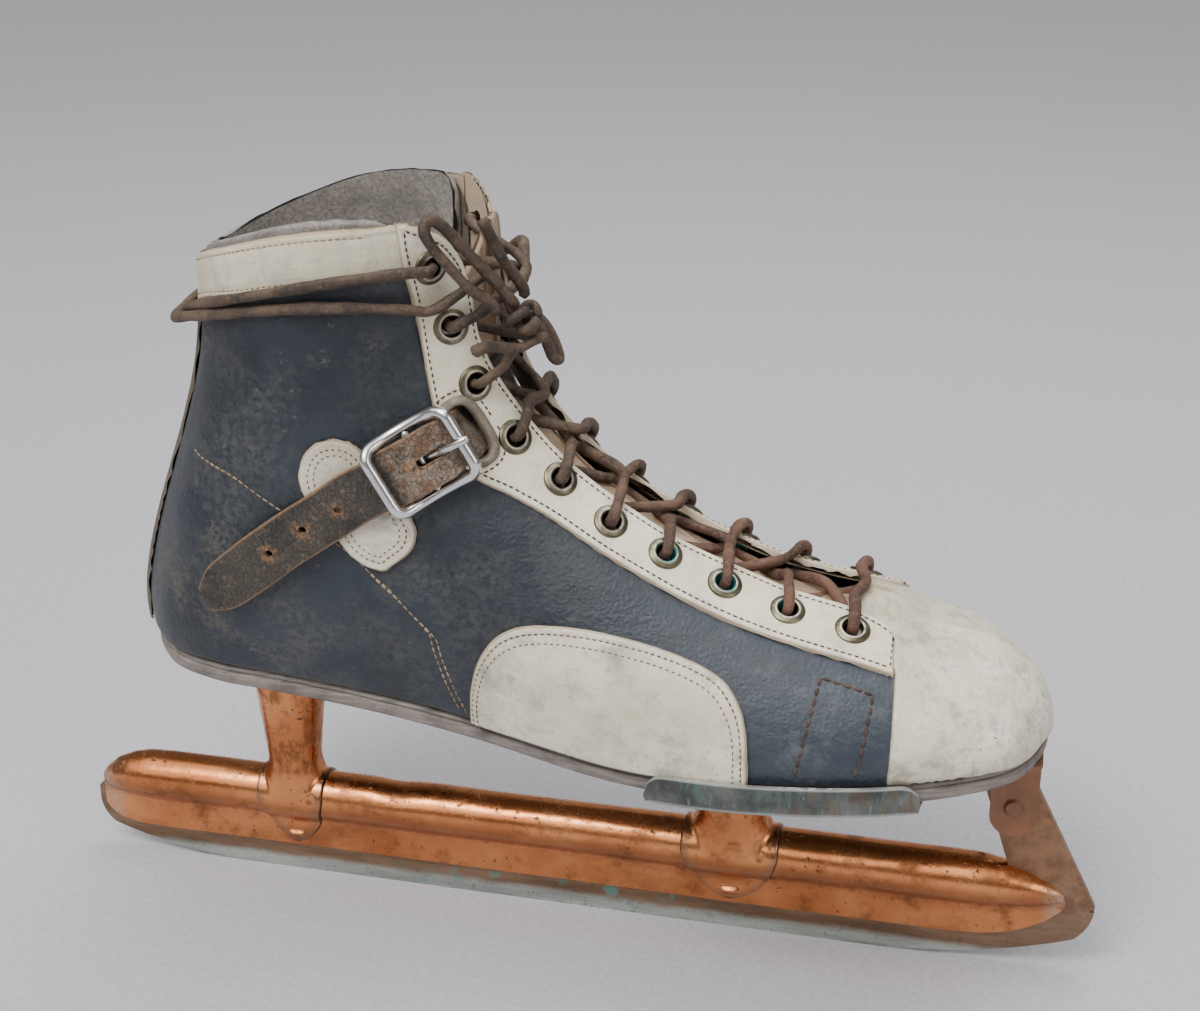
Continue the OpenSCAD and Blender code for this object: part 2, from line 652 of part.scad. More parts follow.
lining_stations = [2.86, 3.3, 3.8, 4.3, 4.9, 5.4, 5.85, 6.3, 6.7, 7.1, 7.4, 7.75, 8.1, 8.5, 8.75, 9.1, 9.6,
    10.1, 10.6, 11.1, 11.5, heel_s];
module lining() {
    color("#9c8c74") leather(heel_cells(lining_stations, lining_seam, lining_top, 8), lining_in, lining_out);
}

// Eyestays: edge lines from the front end up to the collar as [key, s, t]
throat_edge = [
    [0, 2.89, 0.896], [1, 3.21, 0.882], [2, 3.76, 0.891], [3, 4.26, 0.903], [4, 4.86, 0.896], [5, 5.3, 0.899],
    [6, 5.93, 0.895], [7, 6.52, 0.892], [8, 7, 0.872], [9, 7.37, 0.83], [10, 7.65, 0.813], [11, 8.03, 0.84],
    [12, 8.36, 0.887], [13, 8.6, 0.932], [14, 8.83, 0.966], [15, 9, 0.985]
];
rear_edge = [
    [0, 2.88, 0.599], [1, 3.21, 0.618], [2, 3.81, 0.652], [3, 4.31, 0.668], [4, 4.9, 0.686], [5, 5.3, 0.694],
    [6, 5.85, 0.7], [7, 6.35, 0.675], [8, 6.85, 0.635], [9, 7.35, 0.625], [10, 7.75, 0.645], [11, 8.15, 0.7],
    [12, 8.5, 0.775], [13, 8.83, 0.87], [14, 8.98, 0.925], [15, 9.1, 0.985]
];
eyestay_keys = spread(0, 15, 30);
// Eyelets from the top one down, as [s, t], and the throat edge beside each one
eyelet_st = [[8.63, 0.88], [7.95, 0.758], [7.34, 0.765], [6.6, 0.805], [5.96, 0.818], [5.4, 0.803], [4.88, 0.804],
    [4.34, 0.799], [3.79, 0.784], [3.27, 0.768]];
edge_st = [[8.38, 0.9], [7.72, 0.825], [7.2, 0.86], [6.7, 0.895], [6.05, 0.905], [5.45, 0.912], [4.96, 0.906],
    [4.41, 0.915], [3.86, 0.907], [3.3, 0.894]];
eyelet_wall = 0.5;
barrel_r = eyelet_bore/2 + eyelet_wall;
strap_slot = [7.13, 0.7];
slot_l = 9;
slot_play = 1.5;
module eyelet_holes(side) {
    for (e = eyelet_st) aim(side_point(side, e[0], e[1], 0), side_normal(side, e[0], e[1]))
        translate([0, 0, -3]) cylinder(h = overlay_out + 6, r = barrel_r + fit);
}
module slot_hole(side) {
    at = side_point(side, strap_slot[0], strap_slot[1], 0);
    frame_at(at, strap_along(side), side_normal(side, strap_slot[0], strap_slot[1]))
        cube([slot_l, strap_w + slot_play, 16], center = true);
}
module eyestay(side) {
    difference() {
        leather(ribbon_cells(side, eyestay_keys, rear_edge, throat_edge, 5),
            overlay_in, overlay_out, false, side == inner_side);
        eyelet_holes(side);
        slot_hole(side);
    }
}
module eyestay_outer() color("#ddd2ba") eyestay(outer_side);
module eyestay_inner() color("#ddd2ba") eyestay(inner_side);
collar_low = [[8.9, 0.878], [9.2, 0.874], [9.8, 0.87], [10.4, 0.872], [11.06, 0.88], [heel_s, 0.885]];
collar_stations = [9.16, 9.4, 9.8, 10.2, 10.6, 11, 11.3, 11.6, 11.85, heel_s];
module collar_band() {
    rim = [[0, 0.99], [heel_s, 0.99]];
    color("#d2c7b0") leather(heel_cells(collar_stations, collar_low, rim, 3), overlay_in, overlay_out);
}

// Patches sewn on the quarters
patch_top = [[3.9, 0.107], [3.94, 0.279], [4.04, 0.392], [4.24, 0.468], [4.66, 0.493], [5.21, 0.468], [5.74, 0.404],
    [6.1, 0.332], [6.3, 0.243], [6.38, 0.136]];
patch_stations = [3.9, 3.94, 4.04, 4.24, 4.45, 4.66, 4.95, 5.21, 5.5, 5.74, 5.95, 6.1, 6.3, 6.38];
module side_patch(side) {
    leather(band_cells(side, patch_stations, seam_line, patch_top, 4),
        overlay_in, overlay_out, false, side == inner_side);
}
module side_patch_outer() color("#d5c9ae") side_patch(outer_side);
module side_patch_inner() color("#d5c9ae") side_patch(inner_side);
ankle_rear = [[0, 9.08, 0.565], [1, 9.2, 0.52], [2, 9.02, 0.455], [3, 8.6, 0.405], [4, 8.3, 0.365],
    [5, 7.95, 0.335], [6, 7.66, 0.335]];
ankle_front = [[0, 8.9, 0.578], [1, 8.6, 0.562], [2, 8.35, 0.525], [3, 7.95, 0.48], [4, 7.55, 0.455],
    [5, 7.3, 0.42], [6, 7.36, 0.375]];
module ankle_patch(side) {
    leather(ribbon_cells(side, spread(0, 6, 9), ankle_rear, ankle_front, 4),
        overlay_in, overlay_out, false, side == outer_side);
}
module ankle_patch_outer() color("#d3c6a8") ankle_patch(outer_side);
module ankle_patch_inner() color("#d3c6a8") ankle_patch(inner_side);

// Tongue under the throat, over the ridge from side to side
tongue_edge = [[2.6, 0.88], [3.2, 0.8], [5, 0.745], [7, 0.72], [7.9, 0.8]];
module tongue() {
    color("#cbb899") leather(ridge_cells(spread(2.6, 7.9, 16), tongue_edge, 4), tongue_in, tongue_out);
}

// Eyelets: a rolled flange on the eyestay with a barrel through it
flange_t = 0.8;
flange_seat = overlay_out + lap;
module eyelet() {
    rotate_extrude() {
        translate([eyelet_bore/2, overlay_in - lap])
            square([eyelet_wall, flange_seat + flange_t - overlay_in + lap]);
        translate([eyelet_bore/2, flange_seat]) square([eyelet_d/2 - eyelet_bore/2 - flange_t/2, flange_t]);
        translate([eyelet_d/2 - flange_t/2, flange_seat + flange_t/2]) circle(flange_t/2);
    }
}
module eyelets(side) {
    for (e = eyelet_st) aim(side_point(side, e[0], e[1], 0), side_normal(side, e[0], e[1])) eyelet();
}
module eyelets_outer() color("#a59a7c") eyelets(outer_side);
module eyelets_inner() color("#a59a7c") eyelets(inner_side);

// Lacing: out of an eyelet, over its own edge, across, under the other edge and up the next eyelet
over_flange = flange_seat + flange_t + lace_r + lap;
cross_gap = lace_r + lap;
high_level = 3;
function between(a, b, w) = a + (b - a)*w;
function up_eyelet(side, k) = let (e = eyelet_st[k], g = edge_st[k], m = between(e, g, 0.35)) [
    side_point(side, g[0], g[1] - 0.03, lace_under),
    side_point(side, m[0], m[1], lace_under - 0.2),
    side_point(side, e[0], e[1], lace_under + 0.6),
    side_point(side, e[0], e[1], overlay_in),
    side_point(side, e[0], e[1], over_flange - 1)];
function off_eyelet(side, k) = let (e = eyelet_st[k], g = edge_st[k], m = between(e, g, 0.3)) [
    side_point(side, m[0], m[1], over_flange + 0.4),
    side_point(side, between(e, g, 0.75)[0], between(e, g, 0.75)[1], over_flange),
    side_point(side, g[0], g[1] + 0.01, overlay_out + lace_r + lap)];
// Where the strands cross on the ridge above each eyelet, from the top one down
middle_s = [7.95, 7.55, 7.15, 6.62, 6.08, 5.55, 5, 4.47, 3.98, 3.53];
function over_middle(k, level) = [side_point(outer_side, middle_s[k], 1, level)];
function climb(k, side, high) = k < 0 ? [] : concat(
    up_eyelet(side, k),
    k == 0 ? [] : concat(off_eyelet(side, k), over_middle(k, high_level - (high ? 0 : 2*cross_gap)),
        climb(k - 1, -side, high)));
last_eyelet = len(eyelet_st) - 1;
function first_pass(side, low) = concat(
    backwards(off_eyelet(side, last_eyelet)),
    backwards(up_eyelet(side, last_eyelet)),
    [side_point(outer_side, middle_s[last_eyelet], 1, low)]);
function strand(side, high) =
    concat(first_pass(side, high ? 0 : -2*cross_gap), climb(last_eyelet - 1, -side, high));
bar_middle = [side_point(outer_side, 3.22, 1, 4)];
lace_path = concat(backwards(strand(outer_side, true)), bar_middle, strand(inner_side, false));
module lace() color("#5b4033") cord(lace_path, lace_r);

// Where the bow is tied, in front of the tongue
knot_at = [-8.6, -13, boot_h + 131];
knot_r = 5;
// Ankle wraps: each end runs back round the ankle, crosses behind the heel and comes forward
wrap_clear = overlay_out + lace_r + lap;
function wrap_run(side, behind) = let (free = side_point(-side, 7.95, 0.86, wrap_clear + 3)) [
    side_point(side, 8.68, 0.886, over_flange + 1),
    side_point(side, 8.97, 0.896, wrap_clear + 0.9),
    side_point(side, 9.4, 0.888, wrap_clear + 0.4),
    side_point(side, 9.9, 0.877, wrap_clear),
    side_point(side, 10.6, 0.873, wrap_clear),
    side_point(side, 11.3, 0.871, wrap_clear + behind*0.5),
    side_point(side, 11.7, 0.868, wrap_clear + behind),
    side_point(side, heel_s, 0.858, wrap_clear + behind),
    side_point(-side, 11.7, 0.848, wrap_clear + behind),
    side_point(-side, 11.3, 0.848, wrap_clear + behind*0.5),
    side_point(-side, 10.6, 0.846, quarter_out + lace_r + 2*lap),
    side_point(-side, 9.8, 0.838, quarter_out + lace_r + 2*lap),
    side_point(-side, 9.2, 0.832, quarter_out + lace_r + 2*lap),
    side_point(-side, 8.75, 0.816, wrap_clear),
    side_point(-side, 8.45, 0.793, wrap_clear + 1),
    side_point(-side, 8.15, 0.815, wrap_clear + 2),
    free,
    between(free, knot_at, 0.55)];
module lace_wrap_outer() color("#533b30") cord(smooth(wrap_run(outer_side, 0), 2), lace_r);
module lace_wrap_inner() color("#533b30") cord(smooth(wrap_run(inner_side, 2*cross_gap), 2), lace_r);
// Knot and bow
module lace_knot() {
    color("#4c362c") {
        translate(knot_at) sphere(knot_r);
        for (side = [outer_side, inner_side]) translate(knot_at + [-4, side*7.7, 0]) sphere(3.2);
    }
}
loop_outer = [[-10.2, -16.1, 207], [-11.7, -19, 210.7], [-15.9, -24, 218.1], [-20.6, -30, 226.4],
    [-24.7, -35, 233.4], [-27.3, -38, 235.9], [-28.8, -39, 233.1], [-27, -38, 228.6], [-23.5, -34, 222],
    [-19.6, -29, 215], [-14.9, -24, 209.9], [-13.9, -22.6, 206]];
loop_inner = [[-7.2, -8.6, 200.2], [-5.9, -6, 197.3], [-4.4, -4, 192.3], [-3.2, -2, 187.8], [-2.1, 1.5, 186.6],
    [-3.6, 1.6, 191.1], [-6, -0.2, 197], [-9.2, -3.6, 201.6]];
end_up = [[-8.7, -12.4, 208.3], [-9.2, -13, 212], [-11, -17, 217], [-12.7, -21, 222], [-14, -24, 226.9],
    [-15.9, -28.7, 234.4]];
end_down = [[-3.2, -9.6, 196.9], [-5.5, -14.1, 196.9], [-8, -18.6, 196], [-10.5, -22, 196.6], [-12.6, -26.6, 198.2],
    [-15, -31.5, 199.4], [-17.2, -36, 199.2]];
function bow_path(points) = smooth([for (p = points) p + [0, 0, boot_h - 72]], 2);
module lace_loops() {
    color("#5b4033") {
        cord(bow_path(loop_outer), lace_r);
        cord(bow_path(loop_inner), lace_r);
    }
}
module lace_ends() {
    color("#4c362c") {
        cord(bow_path(end_up), lace_r);
        cord(bow_path(end_down), lace_r);
    }
}

// Buckle frame of reference on the outer ankle: along the strap, across it and out of the boot
buckle_st = [7.585, 0.562];
buckle_toward = [6.912, 0.821];
chape_t = 1;
middle_bar_r = 1.4;
chape_r = middle_bar_r + fit + chape_t;
buckle_lift = overlay_out + lap + chape_r;
end_lift = 5;
function strap_along(side) =
    unit(side_point(side, buckle_toward[0], buckle_toward[1], 0) - side_point(side, buckle_st[0], buckle_st[1], 0));
buckle_out = side_normal(outer_side, buckle_st[0], buckle_st[1]);
buckle_at = side_point(outer_side, buckle_st[0], buckle_st[1], buckle_lift);
buckle_x = unit(strap_along(outer_side) - (strap_along(outer_side)*buckle_out)*buckle_out);
buckle_y = cross(buckle_out, buckle_x);
module in_buckle() frame_at(buckle_at, buckle_x, buckle_out) children();
bar_r = buckle_bar_d/2;
side_y = strap_w/2 + 0.9 + bar_r;
arch_r = (buckle_reach^2 + end_lift^2)/(2*end_lift);
arch_a = asin(buckle_reach/arch_r);
module side_bar() {
    translate([0, 0, arch_r]) rotate([90, 0, 0]) rotate([0, 0, -90 - arch_a])
        rotate_extrude(angle = 2*arch_a) translate([arch_r, 0]) circle(bar_r);
}
module buckle_frame() {
    color("#c9ccd0") in_buckle() {
        for (y = [-side_y, side_y]) translate([0, y, 0]) side_bar();
        for (x = [-buckle_reach, buckle_reach]) {
            translate([x, 0, end_lift]) rotate([90, 0, 0]) cylinder(h = 2*side_y, r = bar_r, center = true);
            for (y = [-side_y, side_y]) translate([x, y, end_lift]) sphere(bar_r + fit);
        }
        rotate([90, 0, 0]) cylinder(h = 2*side_y, r = middle_bar_r, center = true);
    }
}
prong_half = 1.1;
prong_rise = chape_r + lap + strap_t;
module buckle_prong() {
    top = end_lift + bar_r + 0.15;
    color("#b9bcc0") in_buckle() difference() {
        rotate([90, 0, 0]) linear_extrude(2*prong_half, center = true) {
            circle(chape_r - 0.1);
            polygon([[-1.2, 0], [1.2, 0], [1.6, prong_rise + 0.6], [buckle_reach - 2*bar_r, top],
                     [buckle_reach + 1.8, top], [buckle_reach + 1.8, top + 1],
                     [buckle_reach, top + 1.5], [0.6, prong_rise + 2.6],
                     [-1.2, prong_rise]]);
        }
        rotate([90, 0, 0]) cylinder(h = 10, r = middle_bar_r + fit, center = true);
    }
}
chape_w = 13;
chape_slot = 2*prong_half + 1.2;
chape_tail = 9;
module buckle_chape() {
    color("#4a3a30") in_buckle() difference() {
        union() {
            rotate([90, 0, 0]) cylinder(h = chape_w, r = chape_r, center = true);
            translate([-chape_tail, -chape_w/2, -chape_r]) cube([chape_tail, chape_w, 2*chape_t]);
        }
        rotate([90, 0, 0]) cylinder(h = 2*chape_w, r = middle_bar_r + fit, center = true);
        cube([3*chape_r, chape_slot, 3*chape_r], center = true);
    }
}

// Strap: rows of middle point, outward direction and share of the width, along its run
function in_frame(x, z) = buckle_at + x*buckle_x + z*buckle_out;
strap_mid = chape_r + lap + strap_t/2;
strap_low = strap_mid - 2.2;
tail_root = -buckle_reach - 5;
root_z = strap_low - 2;
root_gap = 0.2;
under_strap = (strap_under_out + strap_under_in)/2;
over_patch = overlay_out + lap + strap_t/2;
function frame_row(x, z) = [in_frame(x, z), buckle_out, 1];
function last_row(side, s, t, off, share = 1) = [side_point(side, s, t, off), side_normal(side, s, t), share];
throat_rows = [[7.12, 0.705, 1], [7.05, 0.76, under_strap], [6.99, 0.82, under_strap],
    [6.95, 0.88, under_strap], [6.94, 0.94, under_strap]];
strap_rows = concat(
    [frame_row(tail_root, root_z), frame_row(tail_root + 3, strap_low - 0.8),
     frame_row(-buckle_reach + 2, strap_low), frame_row(-6, strap_mid - 0.4), frame_row(-3, strap_mid),
     frame_row(3, strap_mid), frame_row(6, strap_mid - 0.4), frame_row(buckle_reach - 3, strap_low)],
    [for (r = throat_rows) last_row(outer_side, r[0], r[1], r[2])],
    [last_row(outer_side, 6.94, 1, under_strap)],
    [for (r = backwards(throat_rows)) last_row(inner_side, r[0], r[1], r[2])],
    [last_row(inner_side, 7.3, 0.645, overlay_out + strap_t), last_row(inner_side, 7.6, 0.555, over_patch + lap),
     last_row(inner_side, 8, 0.49, over_patch + lap), last_row(inner_side, 8.5, 0.44, over_patch + lap)]);
// The tail as [s, t, share of the width], and its punched holes
tail_st = [[8.58, 0.434, 1], [8.87, 0.409, 1], [9.18, 0.373, 1], [9.5, 0.326, 1], [9.82, 0.272, 0.9],
    [10.01, 0.237, 0.5]];
tail_hole_st = [[8.49, 0.44], [8.9, 0.409], [9.27, 0.36]];
tail_hole_r = 1.5;
tail_rows = concat(
    [frame_row(tail_root - root_gap, root_z), frame_row(tail_root - root_gap - 5, root_z - 1.4)],
    [for (r = tail_st) last_row(outer_side, r[0], r[1], over_patch + lap/2, r[2])]);
function section_corners(rows, i, w, h) =
    let (before = rows[max(i - 1, 0)][0], after = rows[min(i + 1, len(rows) - 1)][0], n = rows[i][1],
         a = unit(cross(n, after - before))*w*rows[i][2]/2, b = n*h/2, p = rows[i][0])
    [p - a - b, p + a - b, p + a + b, p - a + b];
function sweep_faces(count) = let (e = 4*(count - 1)) concat(
    [[0, 1, 2], [0, 2, 3], [e, e + 2, e + 1], [e, e + 3, e + 2]],
    [for (i = [0 : count - 2], k = [0:3])
        let (a = 4*i + k, b = 4*i + (k + 1) % 4) each [[a, a + 4, b + 4], [a, b + 4, b]]]);
module flat_sweep(rows, w, h)
    polyhedron([for (i = [0 : len(rows) - 1]) each section_corners(rows, i, w, h)], sweep_faces(len(rows)));
prong_hole = 8;
module ankle_strap() {
    color("#3d3029") difference() {
        flat_sweep(strap_rows, strap_w, strap_t);
        in_buckle() translate([0, 0, strap_mid]) cube([prong_hole, chape_slot, 4*strap_t], center = true);
    }
}
module strap_tail() {
    color("#3d3029") difference() {
        flat_sweep(tail_rows, strap_w, strap_t);
        for (h = tail_hole_st)
            aim(side_point(outer_side, h[0], h[1], overlay_in), side_normal(outer_side, h[0], h[1]))
                cylinder(h = 4*strap_t, r = tail_hole_r);
    }
}

runner_blade();
runner_tube();
front_post();
rear_post();
front_sole_plate();
heel_plate();
front_rivets();
heel_rivets();
toe_tab_rivet();
outsole();
welt();
shank();
filler();
insole();
toe_cap();
toe_puff();
quarter_outer();
quarter_inner();
heel_counter();
lining();
eyestay_outer();
eyestay_inner();
collar_band();
back_stay();
side_patch_outer();
side_patch_inner();
ankle_patch_outer();
ankle_patch_inner();
tongue();
eyelets_outer();
eyelets_inner();
lace();
lace_wrap_outer();
lace_wrap_inner();
lace_knot();
lace_loops();
lace_ends();
ankle_strap();
strap_tail();
buckle_chape();
buckle_frame();
buckle_prong();
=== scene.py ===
# %% [markdown]
# # A laced hockey skate
# The skate is a leather boot on a tube runner. The metal comes from the packed CAD model, which is
# loaded as a fixed frame. The leather, the laces and the stitching are made here, in millimetres on
# the same last as the CAD, and turned into metres when a mesh is made.

# %% Load the frame
import itertools
import math

import bmesh
import bpy
import numpy as np
from mathutils import Matrix, Vector


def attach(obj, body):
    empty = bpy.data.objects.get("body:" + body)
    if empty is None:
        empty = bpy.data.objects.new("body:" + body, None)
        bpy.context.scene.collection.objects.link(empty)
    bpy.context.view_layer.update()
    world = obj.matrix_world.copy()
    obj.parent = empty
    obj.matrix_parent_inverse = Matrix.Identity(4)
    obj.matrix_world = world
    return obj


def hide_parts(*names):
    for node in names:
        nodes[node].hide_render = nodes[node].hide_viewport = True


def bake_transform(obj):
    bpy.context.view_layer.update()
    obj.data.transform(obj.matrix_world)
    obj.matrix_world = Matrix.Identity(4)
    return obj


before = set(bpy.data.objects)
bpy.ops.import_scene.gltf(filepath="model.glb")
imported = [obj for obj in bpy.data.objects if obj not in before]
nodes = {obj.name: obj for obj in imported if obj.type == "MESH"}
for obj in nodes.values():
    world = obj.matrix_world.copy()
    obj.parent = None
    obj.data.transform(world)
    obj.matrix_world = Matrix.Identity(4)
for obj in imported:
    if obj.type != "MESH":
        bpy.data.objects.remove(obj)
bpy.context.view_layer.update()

scene = bpy.context.scene
MM = 0.001

# %% [markdown]
# ## Camera
# The photograph looks a little down on the outer side of the boot, from slightly in front of it. A
# camera could be aimed with a constraint, but building its axes from two angles keeps the numbers
# that were measured, and leaves no constraint in the file.

# %% Camera
AZIMUTH = math.radians(13.1)
ELEVATION = math.radians(22.8)
CAMERA_AT = Vector((126.9, -502.3, 358.8)) * MM
LENS = 56.34
camera_back = Vector((
    math.sin(AZIMUTH) * math.cos(ELEVATION),
    -math.cos(AZIMUTH) * math.cos(ELEVATION),
    math.sin(ELEVATION),
))
camera_right = Vector((math.cos(AZIMUTH), math.sin(AZIMUTH), 0))
camera_up = camera_back.cross(camera_right)
camera_data = bpy.data.cameras.new("camera")
camera_data.sensor_fit = "HORIZONTAL"
camera_data.sensor_width = 36
camera_data.lens = LENS
camera = bpy.data.objects.new("camera", camera_data)
camera.matrix_world = (
    Matrix.Translation(CAMERA_AT)
    @ Matrix((camera_right, camera_up, camera_back)).transposed().to_4x4()
)
scene.collection.objects.link(camera)
scene.camera = camera
print("camera at", [round(v, 4) for v in CAMERA_AT])

# %% [markdown]
# ## The last
# A boot is pulled over a wooden last. Here the last is a set of profiles from toe to heel. Each one is
# a cubic curve from the sole up to the ridge or the rim, and the profiles are blended along the boot.
# A point on it has a station s from 0 at the toe to 12 at the heel, and a height t from 0 to 1. A
# sculpted mesh would be looser: with s and t, every leather piece lies on the same form as in the CAD.

# %% The last's profiles
BOOT_H = 72
HEEL_S = 12
RIDGE_END_S = 8
OUTER = -1
INNER = 1
LAST_ROWS = [
    [[145, 0], [144.8, 0, 19], [137.5, 0, 36.5], [117, 0, 39]],
    [[138.5, 22.5], [140.2, 25.5, 19], [127.5, 15.5, 35], [113, 0, 39.3]],
    [[123, 34], [124.5, 37.5, 24.5], [116, 24, 38], [107, 0, 41]],
    [[96, 42.3], [97, 46.8, 26], [96.5, 29.5, 42.2], [95, 0, 48]],
    [[60, 44.5], [60, 48.7, 26.5], [61, 30, 51], [62, 0, 54.5]],
    [[25, 40], [25, 45.3, 31.5], [27, 30, 64.5], [30, 0, 69.5]],
    [[-10, 32.5], [-8, 41.5, 40], [-4, 30, 83.5], [3, 0, 90]],
    [[-38, 30], [-37, 40.5, 46], [-21, 31, 107], [-14, 0, 115]],
    [[-62, 30], [-61, 40.5, 50], [-33, 33, 128], [-17, 0, 160]],
    [[-84, 31.5], [-84, 40.5, 50], [-50, 34, 118], [-37, 29, 163]],
    [[-103, 31.5], [-105, 38.5, 48], [-70, 34.5, 113], [-68, 34.5, 160]],
    [[-121, 23], [-125, 29, 46], [-94.5, 25, 103], [-93.5, 24, 152]],
    [[-134, 0], [-139, 0, 56], [-105, 0, 88], [-108, 0, 145]],
]
FEATHER = 6
print("profiles", len(LAST_ROWS))


# %% Points of the last
def sole_height(x):
    """Height of the sole's underside: an arc under the ball, a straight toe and waist, a level heel."""
    x = np.asarray(x, float)
    ball, toe, waist, heel, run, radius = 28, 42.8, -11.8, -80, 34, 290
    toe_slope, waist_slope = (toe - ball) / radius, (ball - waist) / radius
    drop = np.clip(heel - x, 0, run)
    front = (toe - ball) ** 2 / (2 * radius) + toe_slope * (x - toe)
    ease = drop * (1 - drop / (2 * run))
    rear = (waist - ball) ** 2 / (2 * radius) + waist_slope * (waist - np.maximum(x, heel) + ease)
    return BOOT_H + np.where(x > toe, front, np.where(x > waist, (x - ball) ** 2 / (2 * radius), rear))


def profile_points():
    """Control points of every profile, with a mirrored one before the toe and after the heel."""
    rows = np.zeros((len(LAST_ROWS) + 2, 4, 3))
    for i, (sole, low, high, top) in enumerate(LAST_ROWS):
        rows[i + 1, 0] = [sole[0], sole[1], float(sole_height(sole[0])) - BOOT_H + FEATHER]
        rows[i + 1, 1:] = [low, high, top]
    rows[0] = rows[2] * [1, -1, 1]
    rows[-1] = rows[-3] * [1, -1, 1]
    rows[:, :, 2] += BOOT_H
    return rows


PROFILES = profile_points()


def through_weights(u):
    """Weights of four points in a row for a curve that passes through the middle two."""
    return [
        (-u + 2*u*u - u**3) / 2,
        (2 - 5*u*u + 3*u**3) / 2,
        (u + 4*u*u - 3*u**3) / 2,
        (u**3 - u*u) / 2,
    ]


def last_point(s, t):
    """Points of the last with a positive half width."""
    s, t = np.broadcast_arrays(np.asarray(s, float), np.asarray(t, float))
    i = np.clip(np.floor(s).astype(int), 0, HEEL_S - 1)
    along = through_weights(s - i)
    curve = sum(along[k][..., None, None] * PROFILES[i + k] for k in range(4))
    up = [(1 - t)**3, 3*t*(1 - t)**2, 3*t*t*(1 - t), t**3]
    return sum(up[k][..., None] * curve[..., k, :] for k in range(4))


def last_normal(s, t):
    """Outward direction of the last, kept in the middle plane along the ridge, the toe and the heel."""
    s, t = np.broadcast_arrays(np.asarray(s, float), np.asarray(t, float))
    h = 0.002
    along = last_point(np.minimum(s + h, HEEL_S), t) - last_point(np.maximum(s - h, 0), t)
    up = last_point(s, np.minimum(t + h, 1)) - last_point(s, np.maximum(t - h, 0))
    along = np.where((s < 1e-6)[..., None], [0, 1, 0], along)
    along = np.where((s > HEEL_S - 1e-6)[..., None], [0, -1, 0], along)
    on_ridge = (t > 1 - 1e-6) & (s > 1e-6) & (s < RIDGE_END_S + 0.001)
    up = np.where(on_ridge[..., None], [0, -1, 0], up)
    n = np.cross(along, up)
    return n / np.linalg.norm(n, axis=-1, keepdims=True)


print("last length", round(float(last_point(0, 0.3)[0] - last_point(HEEL_S, 0.3)[0]), 1), "mm")

# %% [markdown]
# ## Wear in the form
# Old leather isn't smooth: the toe cap is dented, the ankle is creased and the sides have sunk a little.
# A sculpt brush could do this, but a small lattice noise and a few crease lines on the last move every
# layer together, so that the pieces stay on each other.

# %% Dents and creases
def lattice_noise(p, size, seed):
    """Smooth noise from -1 to 1 that depends only on the place and the seed."""
    q = p / size
    cell = np.floor(q)
    f = q - cell
    f = f * f * (3 - 2 * f)
    total = 0
    for corner in itertools.product((0, 1), repeat=3):
        h = np.sin((cell + corner) @ np.array([127.1, 311.7, 74.7]) + seed) * 43758.5453
        weight = np.prod(np.where(corner, f, 1 - f), axis=-1)
        total = total + (h - np.floor(h)) * weight
    return total * 2 - 1


def smooth_line(points, per=8):
    """A curve through the points, with some more points between each two of them."""
    p = np.asarray(points, float)
    p = np.vstack([2 * p[0] - p[1], p, 2 * p[-1] - p[-2]])
    out = []
    for i in range(1, len(p) - 2):
        for u in np.arange(per) / per:
            w = through_weights(u)
            out.append(sum(w[k] * p[i - 1 + k] for k in range(4)))
    return np.array(out + [p[-2]])


# Each crease is a line of (s, t), its depth and its width in millimetres
CREASES = [
    ([(7.95, 0.605), (8.6, 0.59), (9.3, 0.583)], 0.9, 1.7),
    ([(7.9, 0.57), (8.6, 0.55), (9.5, 0.532)], 0.8, 1.9),
    ([(8.05, 0.64), (8.7, 0.633), (9.2, 0.63)], 0.6, 1.5),
    ([(8.6, 0.68), (9.4, 0.66), (10.2, 0.66)], 0.5, 2.2),
    ([(7.0, 0.3), (6.3, 0.37), (5.6, 0.45), (5.1, 0.5)], 1.1, 3.2),
    ([(6.75, 0.2), (6.3, 0.3), (5.7, 0.39)], 0.8, 2.4),
    ([(7.2, 0.41), (6.6, 0.46), (5.9, 0.52), (5.2, 0.56)], 0.8, 3),
    ([(6.9, 0.5), (6.3, 0.55), (5.6, 0.6)], 0.5, 2),
]
CREASE_POINTS = [
    (last_point(*smooth_line(line, 10).T), depth, width) for line, depth, width in CREASES
]


def relief(p, s):
    """How far the leather stands above or below the last at points p, in millimetres."""
    r = 0.45 * lattice_noise(p, 36, 1) + 0.18 * lattice_noise(p, 13, 2)
    toe = np.clip((3.1 - s) / 0.6, 0, 1)
    r = r + toe * (0.55 * lattice_noise(p, 17, 3) + 0.28 * lattice_noise(p, 7.5, 4))
    for line, depth, width in CREASE_POINTS:
        d2 = np.min(np.sum((p[..., None, :] - line) ** 2, axis=-1), axis=-1)
        dip = depth * np.exp(-d2 / width**2)
        ridge = 0.4 * depth * np.exp(-((np.sqrt(d2) - 2.2 * width) / width) ** 2)
        r = r - dip + ridge
    return r


TOE_SWING = 4
SWING_FROM = 20
SWING_RUN = 127


def swing(x):
    """How far the middle line of the foot has turned in at a place along it."""
    return TOE_SWING * np.clip((x - SWING_FROM) / SWING_RUN, 0, 2) ** 2


def boot(side, s, t, off, worn=True):
    """Points on one side of the boot, off millimetres out from the last."""
    s, t, off, side = np.broadcast_arrays(*(np.asarray(v, float) for v in (s, t, off, side)))
    p = last_point(s, t)
    same = np.ones_like(side)
    lift = off + (relief(p * np.stack([same, side, same], -1), s) if worn else 0)
    p = p + lift[..., None] * last_normal(s, t)
    p[..., 1] = p[..., 1] * side + swing(p[..., 0])
    return p


print("creases", len(CREASES))

